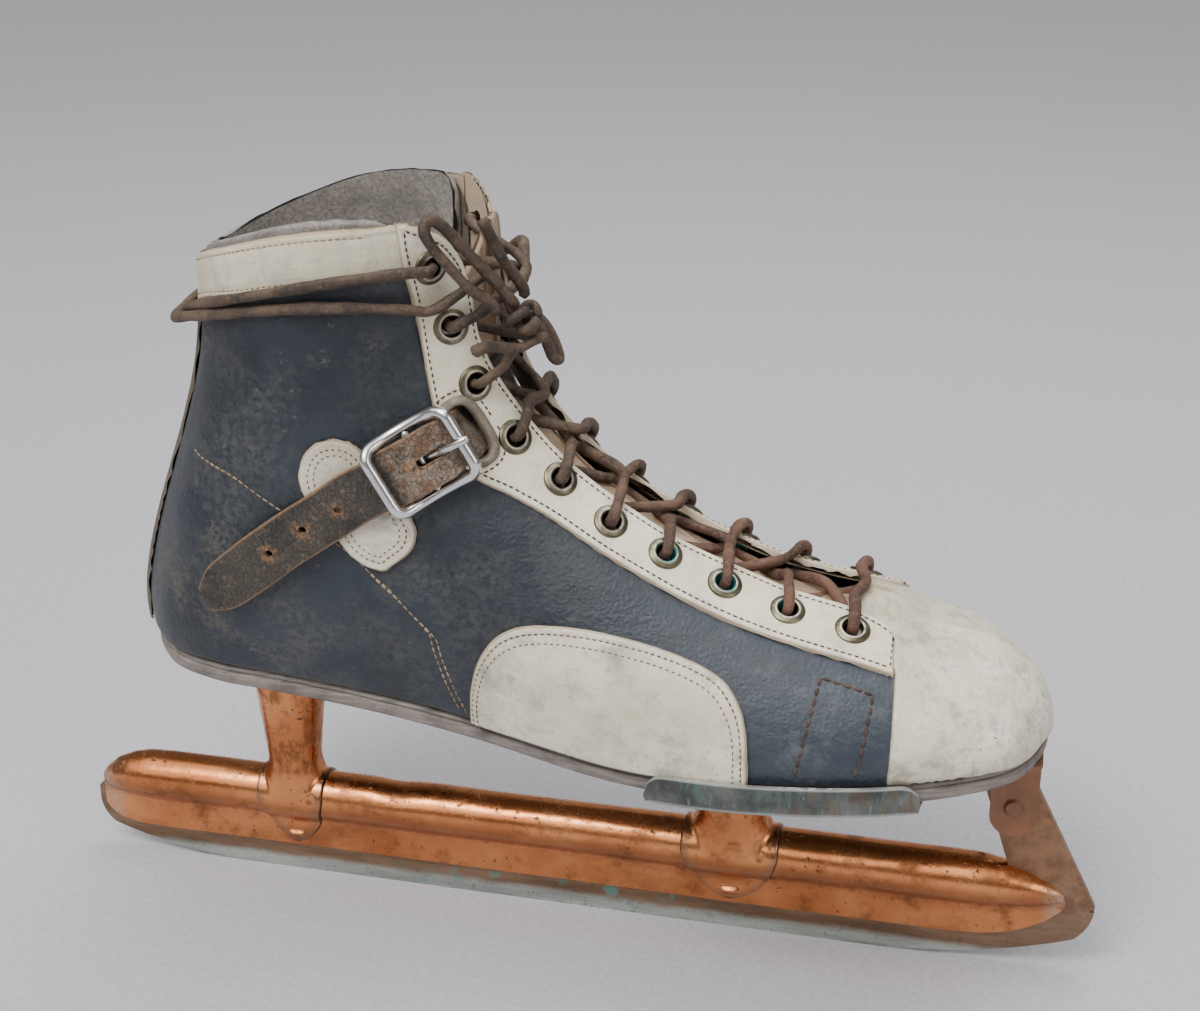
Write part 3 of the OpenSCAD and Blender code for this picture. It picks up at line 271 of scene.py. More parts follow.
# %% [markdown]
# ## Mesh helpers
# Every piece becomes a mesh object, parented to an empty named after its body. One helper makes the mesh,
# its attributes for the shaders and its parent, so that no piece is forgotten. Most pieces are lofts: rings
# of points one after another, with faces between them.

# %% Make a piece
pieces = {}


def solid_mesh(name, verts, faces, attributes=None, weld=False):
    """A mesh in metres from points in millimetres, with its faces turned outwards."""
    mesh = bpy.data.meshes.new(name)
    mesh.from_pydata((np.asarray(verts) * MM).tolist(), [], [list(map(int, f)) for f in faces])
    for key, values in (attributes or {}).items():
        layer = mesh.attributes.new(key, "FLOAT", "POINT")
        layer.data.foreach_set("value", np.asarray(values, np.float32))
    work = bmesh.new()
    work.from_mesh(mesh)
    if weld:
        bmesh.ops.remove_doubles(work, verts=work.verts, dist=1e-6)
    bmesh.ops.recalc_face_normals(work, faces=work.faces)
    work.to_mesh(mesh)
    work.free()
    return mesh


def make_piece(name, verts, faces, slot, replaces=(), body="skate", attributes=None, weld=False):
    """A smooth object that rides on a body and may stand for CAD nodes."""
    mesh = solid_mesh(name, verts, faces, attributes, weld)
    mesh.shade_smooth()
    piece = bpy.data.objects.new(name, mesh)
    scene.collection.objects.link(piece)
    if body:
        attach(piece, body)
    if replaces:
        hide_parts(*replaces)
    pieces[name] = piece
    return piece


print("CAD nodes", len(nodes))


# %% Lines and rings
def unit(v):
    return v / np.linalg.norm(v, axis=-1, keepdims=True)


def run_length(p):
    """Length along a line of points up to each of them."""
    return np.concatenate([[0], np.cumsum(np.linalg.norm(np.diff(p, axis=0), axis=1))])


def resample(at, length, points):
    """The points of a line at other lengths along it."""
    return np.stack([np.interp(at, length, column) for column in points.T], axis=-1)


def even_path(points, step):
    """The same path with points an equal step apart."""
    points = np.asarray(points, float)
    length = run_length(points)
    at = np.linspace(0, length[-1], max(3, int(length[-1] / step) + 1))
    return resample(at, length, points)


def ring_faces(rings, count, base=0, caps=False, closed=False):
    """Faces between rings with the same count of points, and over both ends where caps are wanted."""
    faces = []
    for i, k in itertools.product(range(rings if closed else rings - 1), range(count)):
        a, b = base + i * count, base + (i + 1) % rings * count
        n = (k + 1) % count
        faces.append([a + k, a + n, b + n, b + k])
    if caps:
        faces.append([base + k for k in range(count)][::-1])
        faces.append([base + (rings - 1) * count + k for k in range(count)])
    return faces


def joined(parts):
    """Several pairs of points and faces as one."""
    verts, faces = [], []
    for v, f in parts:
        faces += [[k + len(verts) for k in face] for face in f]
        verts += list(v)
    return verts, faces


print("a box has", len(ring_faces(2, 4, caps=True)), "faces")

# %% [markdown]
# ## The bow: free cords
# The lace is tied in a bow in front of the shin, with two loops and two short ends. These four
# stretches are free, each a tube of its own. A curve object with a bevel would do, but a mesh tube
# can be flattened and turned a little, as a cut leather lace is.

# %% Lace tube
LACE_R = 1.75


def tube_mesh(path, radius, sides=10, flat=0.86, seed=0):
    """Points and faces of a leather cord along a path: a little flat, uneven and slowly turning."""
    path = np.asarray(path, float)
    tangent = unit(np.gradient(path, axis=0))
    length = run_length(path)
    across = unit(np.cross(tangent[0], [0.3, 0.2, 1]))
    blunt = 0.7 * radius
    verts = []
    for i, (p, d) in enumerate(zip(path, tangent)):
        across = unit(across - d * np.dot(across, d))
        other = np.cross(d, across)
        end = min(length[i], length[-1] - length[i])
        swell = 1 + 0.06 * math.sin(length[i] / 5.3 + seed) + 0.05 * math.sin(length[i] / 2.1 + 2 * seed)
        shrink = math.sqrt(max(0, 1 - max(0, 1 - end / blunt) ** 2)) if end < blunt else 1
        size = radius * swell * max(shrink, 0.25)
        turn = 0.9 * math.sin(length[i] / 31 + seed) + 0.5 * math.sin(length[i] / 12.7)
        first = across * math.cos(turn) + other * math.sin(turn)
        second = other * math.cos(turn) - across * math.sin(turn)
        for k in range(sides):
            a = 2 * math.pi * k / sides
            verts.append(p + first * size * math.cos(a) + second * size * flat * math.sin(a))
    return np.array(verts), ring_faces(len(path), sides, caps=True), np.repeat(length, sides)


def lace_piece(name, node, path, seed, radius=LACE_R):
    """One stretch of lace along a path, in place of a CAD node."""
    verts, faces, along = tube_mesh(path, radius, seed=seed)
    return make_piece(name, verts, faces, "lace_leather", [node], attributes={"along": along})


print("lace", 2 * LACE_R, "mm thick")

# %% Free ends of the lace
KNOT = np.array([-8.6, -13, 203])
BOW = {
    "loop_outer": [[-10.2, -16.1, 207], [-11.7, -19, 210.7], [-15.9, -24, 218.1], [-20.6, -30, 226.4],
                   [-24.7, -35, 233.4], [-27.3, -38, 235.9], [-28.8, -39, 233.1], [-27, -38, 228.6],
                   [-23.5, -34, 222], [-19.6, -29, 215], [-14.9, -24, 209.9], [-13.9, -22.6, 206]],
    "loop_inner": [[-7.2, -8.6, 200.2], [-5.9, -6, 197.3], [-4.4, -4, 192.3], [-3.2, -2, 187.8],
                   [-2.1, 1.5, 186.6], [-3.6, 1.6, 191.1], [-6, -0.2, 197], [-9.2, -3.6, 201.6]],
    "end_up": [[-8.7, -12.4, 208.3], [-9.2, -13, 212], [-11, -17, 217], [-12.7, -21, 222], [-14, -24, 226.9],
               [-15.9, -28.7, 234.4]],
    "end_down": [[-3.2, -9.6, 196.9], [-5.5, -14.1, 196.9], [-8, -18.6, 196], [-10.5, -22, 196.6],
                 [-12.6, -26.6, 198.2], [-15, -31.5, 199.4], [-17.2, -36, 199.2]],
}
for number, (name, points) in enumerate(BOW.items()):
    path = even_path(smooth_line(points, 10), 1)
    piece = lace_piece(name, "lace_loops" if name.startswith("loop") else "lace_ends", path, number)

# %% [markdown]
# ## The lacing
# The lace comes up through an eyelet, goes over the edge of its own eyestay, across the ridge, under the
# other edge and up the next eyelet. The path repeats the CAD route on the last, smoothed, and one tube
# follows it. Both ends then run round the ankle, cross behind the heel and meet in the knot.

# %% Layers and eyelets
LAP = 0.3
QUARTER_OUT = 1.7
OVERLAY_IN = QUARTER_OUT + 1.2 * LAP
OVERLAY_OUT = OVERLAY_IN + 1.4
LACE_UNDER = -LAP - LACE_R
FLANGE_SEAT = OVERLAY_OUT + LAP
OVER_FLANGE = FLANGE_SEAT + 0.8 + LACE_R + LAP
CROSS_GAP = LACE_R + LAP
EYELETS = np.array([
    (8.63, 0.88), (7.95, 0.758), (7.34, 0.765), (6.6, 0.805), (5.96, 0.818),
    (5.4, 0.803), (4.88, 0.804), (4.34, 0.799), (3.79, 0.784), (3.27, 0.768),
])
EDGES = np.array([
    (8.38, 0.9), (7.72, 0.825), (7.2, 0.86), (6.7, 0.895), (6.05, 0.905),
    (5.45, 0.912), (4.96, 0.906), (4.41, 0.915), (3.86, 0.907), (3.3, 0.894),
])
MIDDLE_S = [7.95, 7.55, 7.15, 6.62, 6.08, 5.55, 5, 4.47, 3.98, 3.53]
print("eyelets on a side", len(EYELETS))


# %% Criss-cross lace
def up_eyelet(side, k):
    e, g = EYELETS[k], EDGES[k]
    m = e + (g - e) * 0.35
    return [
        boot(side, g[0], g[1] - 0.03, LACE_UNDER),
        boot(side, m[0], m[1], LACE_UNDER - 0.2),
        boot(side, e[0], e[1], LACE_UNDER + 0.6),
        boot(side, e[0], e[1], OVERLAY_IN),
        boot(side, e[0], e[1], OVER_FLANGE - 1),
    ]


def off_eyelet(side, k):
    e, g = EYELETS[k], EDGES[k]
    m, n = e + (g - e) * 0.3, e + (g - e) * 0.75
    return [
        boot(side, m[0], m[1], OVER_FLANGE + 0.4),
        boot(side, n[0], n[1], OVER_FLANGE),
        boot(side, g[0], g[1] + 0.01, OVERLAY_OUT + LACE_R + LAP),
    ]


def strand(side, high):
    """One half of the lace, from the lowest eyelet to the top one."""
    low = 0 if high else -2 * CROSS_GAP
    path = off_eyelet(side, 9)[::-1] + up_eyelet(side, 9)[::-1] + [boot(OUTER, MIDDLE_S[9], 1, low)]
    for k in range(8, -1, -1):
        side = -side
        path += up_eyelet(side, k)
        if k:
            path += off_eyelet(side, k) + [boot(OUTER, MIDDLE_S[k], 1, 3 if high else 3 - 2 * CROSS_GAP)]
    return path


lace_route = strand(OUTER, True)[::-1] + [boot(OUTER, 3.22, 1, 4)] + strand(INNER, False)
lace_path = even_path(smooth_line(lace_route, 6), 1.1)
lace_piece("lace", "lace", lace_path, 5)
print("lace", len(lace_path), "rings")

# %% Ankle wraps and knot
WRAP_CLEAR = OVERLAY_OUT + LACE_R + LAP


def wrap_route(side, behind):
    """One end round the ankle, back behind the heel and forward to the knot."""
    low = QUARTER_OUT + LACE_R + 0.6
    there = [
        (8.68, 0.886, OVER_FLANGE + 1), (8.97, 0.896, WRAP_CLEAR + 0.9), (9.4, 0.888, WRAP_CLEAR + 0.4),
        (9.9, 0.877, WRAP_CLEAR), (10.6, 0.873, WRAP_CLEAR), (11.3, 0.871, WRAP_CLEAR + behind / 2),
        (11.7, 0.868, WRAP_CLEAR + behind), (12, 0.858, WRAP_CLEAR + behind),
    ]
    back = [
        (11.7, 0.848, WRAP_CLEAR + behind), (11.3, 0.848, WRAP_CLEAR + behind / 2), (10.6, 0.846, low),
        (9.8, 0.838, low), (9.2, 0.832, low), (8.75, 0.816, WRAP_CLEAR), (8.45, 0.793, WRAP_CLEAR + 1),
        (8.15, 0.815, WRAP_CLEAR + 2), (7.95, 0.86, WRAP_CLEAR + 3),
    ]
    route = [boot(side, *p) for p in there] + [boot(-side, *p) for p in back]
    return route + [route[-1] + (KNOT - route[-1]) * 0.55]


for name, side, behind in (("lace_wrap_outer", OUTER, 0), ("lace_wrap_inner", INNER, 4.1)):
    lace_piece(name, name, even_path(smooth_line(wrap_route(side, behind), 8), 1.2), 8 + side)
turn = np.linspace(0, 2 * math.pi, 120)
knot_path = KNOT + np.stack([
    (2 + np.cos(3 * turn)) * np.cos(2 * turn) * 1.5 - 1,
    (2 + np.cos(3 * turn)) * np.sin(2 * turn) * 2.3,
    np.sin(3 * turn) * 2.6,
], axis=1)
lace_piece("lace_knot", "lace_knot", knot_path, 2, LACE_R * 0.95)
print("wraps and knot done")

# %% [markdown]
# ## Cut leather pieces
# A boot upper is cut flat, skived, and sewn in layers. Each piece here is a grid in s and t between two
# edge lines, with an upper and a lower face. Solidify and Bevel modifiers could do it, but with the
# distance to the edge known at every point, the same number rounds the edge, sinks the stitched groove
# and tells the shader where the edge is worn. Along the rim the faces stay about a millimetre apart.

# %% Grids between two edges
INSETS = np.array([0, 0.12, 0.35, 0.7, 1.2, 1.7, 2.2, 2.7, 3.4])
NARROW = 9
STITCH_IN = 2.2
GROOVE_DEEP = 0.22
GROOVE_WIDE = 0.45


def spaced(length, step):
    """Fractions from 0 to 1 that are close together near both ends."""
    edge = INSETS * min(1, length / NARROW)
    inner = np.linspace(edge[-1], length - edge[-1], max(2, int(round((length - 2 * edge[-1]) / step)) + 1))
    return np.concatenate([edge[:-1], inner, (length - edge[:-1])[::-1]]) / length


def ribbon(first, second, step=2.0, per=16):
    """A grid of s and t between two edge lines with matching points, fine along every edge."""
    a = smooth_line(first, per)
    b = smooth_line(second, per)
    middle = run_length((last_point(*a.T) + last_point(*b.T)) / 2)
    rows = spaced(middle[-1], step) * middle[-1]
    a = resample(rows, middle, a)
    b = resample(rows, middle, b)
    width = np.linalg.norm(last_point(*a.T) - last_point(*b.T), axis=1)
    base = spaced(float(width.mean()), step)
    n = len(INSETS)
    grid = []
    for p, q, w in zip(a, b, width):
        at = base.copy()
        edge = INSETS * min(1, w / NARROW) / w
        at[:n] = edge
        at[-n:] = 1 - edge[::-1]
        at[n - 1:len(at) - n + 1] = np.linspace(at[n - 1], at[-n], len(at) - 2 * n + 2)
        grid.append(p + (q - p) * at[:, None])
    grid = np.array(grid)
    return grid[..., 0], grid[..., 1]


def edge_distance(p, free):
    """Distance in millimetres from each grid point to the free edges of the grid."""
    lines = {"start": p[0], "end": p[-1], "first": p[:, 0], "second": p[:, -1]}
    border = np.concatenate([even_path(lines[k], 0.5) for k in free])
    batches = np.array_split(p.reshape(-1, 3), p.size // 6000 + 1)
    near = [np.sqrt(np.min(np.sum((b[:, None] - border) ** 2, axis=-1), axis=1)) for b in batches]
    return np.concatenate(near).reshape(p.shape[:2])


print("panel insets", INSETS.tolist())

# %% Panels and holes
ALL_EDGES = ("start", "end", "first", "second")


def panel(name, side, s, t, low, high, slot, replaces=(), free=ALL_EDGES, sewn=(), round_mm=0.9):
    """A leather piece over the grid: two faces, rounded at free edges and grooved along sewn ones."""
    side = np.broadcast_to(np.asarray(side, float), s.shape)
    flat = boot(side, s, t, high)
    d = edge_distance(flat, free)
    crown = np.sqrt(1 - (1 - np.clip(d / round_mm, 0, 1)) ** 2)
    top = low + (high - low) * crown
    if sewn:
        top = top - GROOVE_DEEP * np.exp(-((edge_distance(flat, sewn) - STITCH_IN) / GROOVE_WIDE) ** 2)
    upper = boot(side, s, t, top).reshape(-1, 3)
    lower = boot(side, s, t, low).reshape(-1, 3)
    rows, cols = s.shape
    number = np.arange(rows * cols).reshape(rows, cols)
    quads = np.stack([number[:-1, :-1], number[:-1, 1:], number[1:, 1:], number[1:, :-1]], -1).reshape(-1, 4)
    faces = np.concatenate([quads, quads[:, ::-1] + rows * cols])
    verts = np.concatenate([upper, lower])
    wear = np.concatenate([d.ravel(), np.minimum(d.ravel(), 0.3)])
    return make_piece(name, verts, faces, slot, replaces, attributes={"edge": wear}, weld=True)


def both_sides(s, t, join):
    """One grid over both sides: joined along the heel row or along the ridge column."""
    if join == "heel":
        s[-1] = HEEL_S
        side = np.concatenate([np.full_like(s, OUTER), np.full_like(s[:-1], INNER)])
        return side, np.concatenate([s, s[-2::-1]]), np.concatenate([t, t[-2::-1]])
    t[:, -1] = 1
    side = np.concatenate([np.full_like(s, OUTER), np.full_like(s[:, :-1], INNER)], axis=1)
    return side, np.concatenate([s, s[:, -2::-1]], axis=1), np.concatenate([t, t[:, -2::-1]], axis=1)


def carve(piece, shapes):
    """Cuts closed shapes, each a list of rings of points, out of a piece."""
    verts, faces = [], []
    for rings in shapes:
        faces += ring_faces(len(rings), len(rings[0]), base=len(verts), caps=True)
        verts += [p for ring in rings for p in ring]
    cutter = bpy.data.objects.new("cutter", solid_mesh("cutter", verts, faces))
    scene.collection.objects.link(cutter)
    modifier = piece.modifiers.new("holes", "BOOLEAN")
    modifier.operation = "DIFFERENCE"
    modifier.solver = "EXACT"
    modifier.object = cutter
    evaluated = piece.evaluated_get(bpy.context.evaluated_depsgraph_get())
    piece.data = bpy.data.meshes.new_from_object(evaluated)
    piece.modifiers.clear()
    bpy.data.objects.remove(cutter)
    piece.data.set_sharp_from_angle(angle=0.8)


print("stitches", STITCH_IN, "mm in from an edge")

# %% [markdown]
# ## Toe cap, quarters and tongue
# The toe cap is one pale piece moulded over the toe, thicker than the rest and dented. The two dark
# quarters are the body of the boot. The tongue lies deep under the throat.

# %% Toe cap
SEAM_T = 0.015
CAP_S = 2.83


def band(stations, low, high):
    """Two edge lines over the same stations, from tables of (s, t)."""
    edges = (np.asarray(table) for table in (low, high))
    return [np.stack([stations, np.interp(stations, e[:, 0], e[:, 1])], axis=1) for e in edges]


def level(t):
    """An edge at one height all along the boot."""
    return [(0, t), (HEEL_S, t)]


HEEL_STATIONS = [10.2, 10.8, 11.3, 11.7, HEEL_S]
cap_t = SEAM_T + (1 - SEAM_T) * np.linspace(0, 1, 46) ** 0.9
cap_s = np.concatenate([np.linspace(0, 2.6, 60), CAP_S - INSETS[::-1] / 33])
s, t = np.meshgrid(cap_s, cap_t, indexing="ij")
under_stay = np.clip((t - 0.62) / 0.12, 0, 1)
s = s * (1 + 0.16 * under_stay**2 * (3 - 2 * under_stay) * (s / CAP_S) ** 4)
side, s, t = both_sides(s, t, "ridge")
panel("toe_cap", side, s, t, 0, 2.5, "cream_leather", ["toe_cap"],
      free=("end", "first", "second"), round_mm=1.3)
print("toe cap grid", s.shape)

# %% Quarters, tongue and lining
QUARTER_TOP = [
    (2.76, 0.64), (3.2, 0.675), (3.8, 0.71), (4.3, 0.73), (4.9, 0.745), (5.3, 0.75), (5.85, 0.75),
    (6.3, 0.72), (6.7, 0.66), (7.4, 0.66), (7.75, 0.7), (8.1, 0.745), (8.5, 0.81), (8.75, 0.88),
    (9.1, 0.96), (9.6, 0.968), (12, 0.968),
]
quarter_edges = band([p[0] for p in QUARTER_TOP[:-1]] + HEEL_STATIONS, level(SEAM_T), QUARTER_TOP)
s, t = ribbon(*quarter_edges, step=1.8)
for name, side in (("quarter_outer", OUTER), ("quarter_inner", INNER)):
    panel(name, side, s, t, 0, QUARTER_OUT, "dark_leather", [name])

TONGUE_EDGE = [(2.6, 0.88), (3.2, 0.8), (5, 0.745), (7, 0.72), (7.9, 0.8)]
s, t = ribbon(*band(np.linspace(2.6, 7.9, 16), TONGUE_EDGE, level(1)))
side, s, t = both_sides(s, t, "ridge")
sink = np.clip((s - 6.3) / 0.6, 0, 1)
panel("tongue", side, s, t, -5.4 - 2.6 * sink, -2.7 - 2.8 * sink, "cream_leather", ["tongue"])

LINING_TOP = [
    (2.86, 0.5), (3.8, 0.57), (4.9, 0.63), (5.85, 0.66), (6.3, 0.62), (6.7, 0.56), (7.4, 0.56), (7.75, 0.62),
    (8.1, 0.68), (8.5, 0.77), (8.75, 0.85), (9.1, 0.97), (9.4, 0.99), (9.85, 0.995), (12, 0.995),
]
lining_edges = band([p[0] for p in LINING_TOP[:-1]] + HEEL_STATIONS, level(0.06), LINING_TOP)
side, s, t = both_sides(*ribbon(*lining_edges, step=3), "heel")
panel("lining", side, s, t, -3.6, -0.2, "lining_cloth", ["lining"])
print("body pieces", sorted(pieces))

# %% [markdown]
# ## Eyestays, collar and patches
# The pale pieces are sewn on top of the dark ones: an eyestay along each side of the throat, a collar
# band, a rounded patch on each side and a peanut-shaped one at each ankle. The holes for the eyelets and
# the strap's slot could be left out of the grid, but that leaves ragged edges. A Boolean cuts them clean,
# and a raised rim goes round the slot.

# %% Outlines and places
THROAT = np.array([
    (2.85, 0.764), (2.869, 0.805), (2.931, 0.83), (3.03, 0.847), (3.16, 0.863), (3.3, 0.878), (3.76, 0.891),
    (4.26, 0.903), (4.86, 0.896), (5.3, 0.899), (5.93, 0.895), (6.52, 0.892), (7, 0.872), (7.37, 0.83),
    (7.65, 0.813), (8.03, 0.84), (8.36, 0.887), (8.6, 0.932), (8.83, 0.966), (9, 0.985),
])
REAR = np.array([
    (2.83, 0.597), (2.88, 0.601), (2.94, 0.605), (3.03, 0.612), (3.15, 0.621), (3.3, 0.63), (3.81, 0.652),
    (4.31, 0.668), (4.9, 0.686), (5.3, 0.694), (5.85, 0.7), (6.35, 0.675), (6.85, 0.635), (7.35, 0.625),
    (7.75, 0.645), (8.15, 0.7), (8.5, 0.775), (8.83, 0.87), (8.98, 0.925), (9.1, 0.985),
])
SLOT_ST = (7.13, 0.7)
SLOT_HALF = (3.3, 8.75)
SLOT_POINTS = 48
BORE_R = 3.2
BUCKLE_X = np.array([0.813793, 0.316386, 0.487485])
BUCKLE_Y = np.array([-0.512952, -0.00324114, 0.858411])
BUCKLE_OUT = np.array([0.273169, -0.948625, 0.159653])
BUCKLE_AT = np.array([-33.6121, -34.4698, 165.861])
print("slot", [2 * v for v in SLOT_HALF], "mm")


# %% Slot and bores
def side_normal(side, s, t):
    return last_normal(s, t) * [1, side, 1]


def slot_frame(side):
    """The slot's middle, its direction along the strap, the one across and the one out."""
    out = side_normal(side, *SLOT_ST)
    along = BUCKLE_X * [1, -side, 1]
    along = unit(along - out * np.dot(along, out))
    return boot(side, *SLOT_ST, 0), along, np.cross(out, along), out


def find_st(side, at, along, across, u, v, guess):
    """The (s, t) of points that lie u along and v across from a point on the boot."""
    st = np.tile(np.asarray(guess, float), (len(u), 1))
    goal = np.stack([u, v], axis=1)

    def reach(q):
        p = boot(side, q[:, 0], q[:, 1], 0, worn=False) - at
        return np.stack([p @ along, p @ across], axis=1)

    for _ in range(12):
        now = reach(st)
        ds = (reach(st + [1e-4, 0]) - now) / 1e-4
        dt = (reach(st + [0, 1e-4]) - now) / 1e-4
        det = ds[:, 0] * dt[:, 1] - ds[:, 1] * dt[:, 0]
        miss = goal - now
        st = st + 0.8 * np.stack([
            (miss[:, 0] * dt[:, 1] - miss[:, 1] * dt[:, 0]) / det,
            (ds[:, 0] * miss[:, 1] - ds[:, 1] * miss[:, 0]) / det,
        ], axis=1)
    return st


def oval(half_u, half_v, power, count):
    """A rounded oblong as two lists of places."""
    a = np.linspace(0, 2 * math.pi, count, endpoint=False)
    c, d = np.cos(a), np.sin(a)
    return half_u * np.sign(c) * np.abs(c) ** (2 / power), half_v * np.sign(d) * np.abs(d) ** (2 / power)


def hole_ring(axis, radius, count):
    """A ring of points round an axis, which goes through the origin."""
    u, v = oval(radius, radius, 2, count)
    first = unit(np.cross(axis, [0, 0, 1]))
    return u[:, None] * first + v[:, None] * np.cross(axis, first)


def eyelet_places(side):
    """The middle and the axis of every eyelet on one side."""
    return [(boot(side, s, t, OVERLAY_OUT), side_normal(side, s, t)) for s, t in EYELETS]


def eyelet_bores(side):
    """Round cutters through the eyestay at every eyelet."""
    shapes = []
    for at, axis in eyelet_places(side):
        ring = at + hole_ring(axis, BORE_R, 24)
        shapes.append([ring - 8 * axis, ring + 5 * axis])
    return shapes


def slot_line(side, grow):
    """The (s, t) of the slot's outline, grown by some millimetres."""
    at, along, across, _ = slot_frame(side)
    u, v = oval(SLOT_HALF[0] + grow, SLOT_HALF[1] + grow, 2.8, SLOT_POINTS)
    return find_st(side, at, along, across, u, v, SLOT_ST)


print("bores", len(eyelet_bores(OUTER)))

# %% Eyestays
s, t = ribbon(REAR, THROAT, step=1.5)
for name, side in (("eyestay_outer", OUTER), ("eyestay_inner", INNER)):
    eyestay = panel(name, side, s, t, 0.9, OVERLAY_OUT, "cream_leather", [name], sewn=ALL_EDGES)
    st = slot_line(side, 0.6)
    slot = [boot(side, st[:, 0], st[:, 1], -4), boot(side, st[:, 0], st[:, 1], 9)]
    carve(eyestay, eyelet_bores(side) + [slot])
    print(name, len(eyestay.data.polygons), "faces")

# %% Slot rims
RIM = [(0, -1.5), (0.05, 0.9), (0.4, 1.5), (1.1, 1.75), (1.9, 1.5), (2.5, 0.8), (2.8, -0.3)]
for word, side in (("outer", OUTER), ("inner", INNER)):
    loops = []
    for grow, height in RIM:
        st = slot_line(side, grow)
        ragged = 0.12 * np.sin(np.arange(SLOT_POINTS) * 2.4) * (height > 0)
        loops.append(boot(side, st[:, 0], st[:, 1], OVERLAY_OUT + height + ragged))
    verts = np.concatenate(loops)
    make_piece("slot_rim_" + word, verts, ring_faces(len(RIM), SLOT_POINTS), "cream_leather",
               attributes={"edge": np.full(len(verts), 3.0)})
print("slot rims done")

# %% Collar and back stay
COLLAR_LOW = np.array([
    (8.84, 0.879), (9, 0.878), (9.4, 0.873), (9.8, 0.87), (10.4, 0.872), (11.06, 0.88), (11.6, 0.884),
    (12, 0.885),
])
COLLAR_TOP = np.array([
    (9.05, 0.981), (9.2, 0.98), (9.45, 0.979), (9.85, 0.979), (10.4, 0.979), (11.06, 0.979), (11.6, 0.979),
    (12, 0.979),
])
side, s, t = both_sides(*ribbon(COLLAR_LOW, COLLAR_TOP, step=1.8), "heel")
tuck = 1.1 * np.clip((9.3 - s) / 0.2, 0, 1)
panel("collar_band", side, s, t, 0.4, OVERLAY_OUT - 0.2 - tuck, "cream_leather", ["collar_band"],
      sewn=("first", "second"))

stay_edges = band([11.6, 11.72, 11.85, HEEL_S], level(SEAM_T), level(0.868))
side, s, t = both_sides(*ribbon(*stay_edges, step=1.8), "heel")
panel("back_stay", side, s, t, QUARTER_OUT - 0.2, OVERLAY_OUT - 0.4, "dark_leather", ["back_stay"])
print("collar and back stay done")

# %% Patches
PATCH_TOP = [
    (3.9, 0.02), (3.9, 0.107), (3.94, 0.279), (4.04, 0.392), (4.24, 0.468), (4.66, 0.493), (5.21, 0.468),
    (5.74, 0.404), (6.1, 0.332), (6.3, 0.243), (6.38, 0.136), (6.38, 0.02),
]
PATCH_LOW = [(s, SEAM_T) for s in np.linspace(3.95, 6.33, len(PATCH_TOP))]
ANKLE_REAR = [
    (8.998, 0.582), (9.15, 0.577), (9.259, 0.558), (9.258, 0.524), (9.17, 0.494), (9.004, 0.463),
    (8.379, 0.374), (8.159, 0.345), (7.896, 0.329), (7.661, 0.332),
]
ANKLE_FRONT = [
    (8.949, 0.582), (8.726, 0.568), (8.478, 0.542), (8.228, 0.511), (7.899, 0.483), (7.632, 0.471),
    (7.386, 0.455), (7.312, 0.438), (7.337, 0.399), (7.582, 0.339),
]
patch_grid = ribbon(PATCH_LOW, PATCH_TOP, step=1.6)
ankle_grid = ribbon(ANKLE_REAR, ANKLE_FRONT, step=1.4)
for word, side in (("outer", OUTER), ("inner", INNER)):
    panel("side_patch_" + word, side, *patch_grid, QUARTER_OUT - 0.1, OVERLAY_OUT, "cream_leather",
          ["side_patch_" + word], sewn=("start", "end", "second"))
    panel("ankle_patch_" + word, side, *ankle_grid, QUARTER_OUT - 0.1, OVERLAY_OUT, "cream_leather",
          ["ankle_patch_" + word], sewn=ALL_EDGES)
print("panels", len(pieces))

# %% [markdown]
# ## Eyelets
# Each eyelet is a brass grommet: a barrel through the leather whose lip is rolled outwards and pressed
# flat. A torus would be too plump, so a lip profile is turned round the axis of every hole.

# %% Eyelets
LIP = [
    (2.75, -4.2), (2.75, 0.3), (2.9, 0.75), (3.25, 1.02), (3.7, 1.0),
    (4.05, 0.82), (4.5, 0.72), (4.9, 0.55), (5.15, 0.25), (5.2, -0.3),
]
LIP_POINTS = 32
LIP_TOP_R = 3.5


def eyelet_row(name, side):
    """All grommets of one eyestay in one mesh."""
    grommets = []
    for at, axis in eyelet_places(side):
        rings = [at + hole_ring(axis, r, LIP_POINTS) + h * axis for r, h in LIP]
        grommets.append((np.concatenate(rings), ring_faces(len(LIP), LIP_POINTS)))
    depth = np.tile(np.repeat([h for _, h in LIP], LIP_POINTS), len(EYELETS))
    inside = np.tile(np.repeat([float(r < LIP_TOP_R) for r, _ in LIP], LIP_POINTS), len(EYELETS))
    make_piece(name, *joined(grommets), "eyelet_brass", [name], attributes={"depth": depth, "inside": inside})


eyelet_row("eyelets_outer", OUTER)
eyelet_row("eyelets_inner", INNER)
print("eyelets", 2 * len(EYELETS))

# %% [markdown]
# ## Tube and posts
# The runner's tube is folded from one sheet: a round top that sweeps in to a flange on each side of the
# blade. Its ends are pinched shut. The posts are drawn cones that flare out into a saddle over the tube.
# The CAD has these forms with plain cones, and a loft gives them their swelling, dents and thin edges.

# %% Tube sections
TUBE_AXIS = 29.5
TUBE_R = 8
FOLD_R = 7
FLANGE_HALF = 2.3
POST_FOOT = 11.8
FAR_FROM_EDGE = 9.0
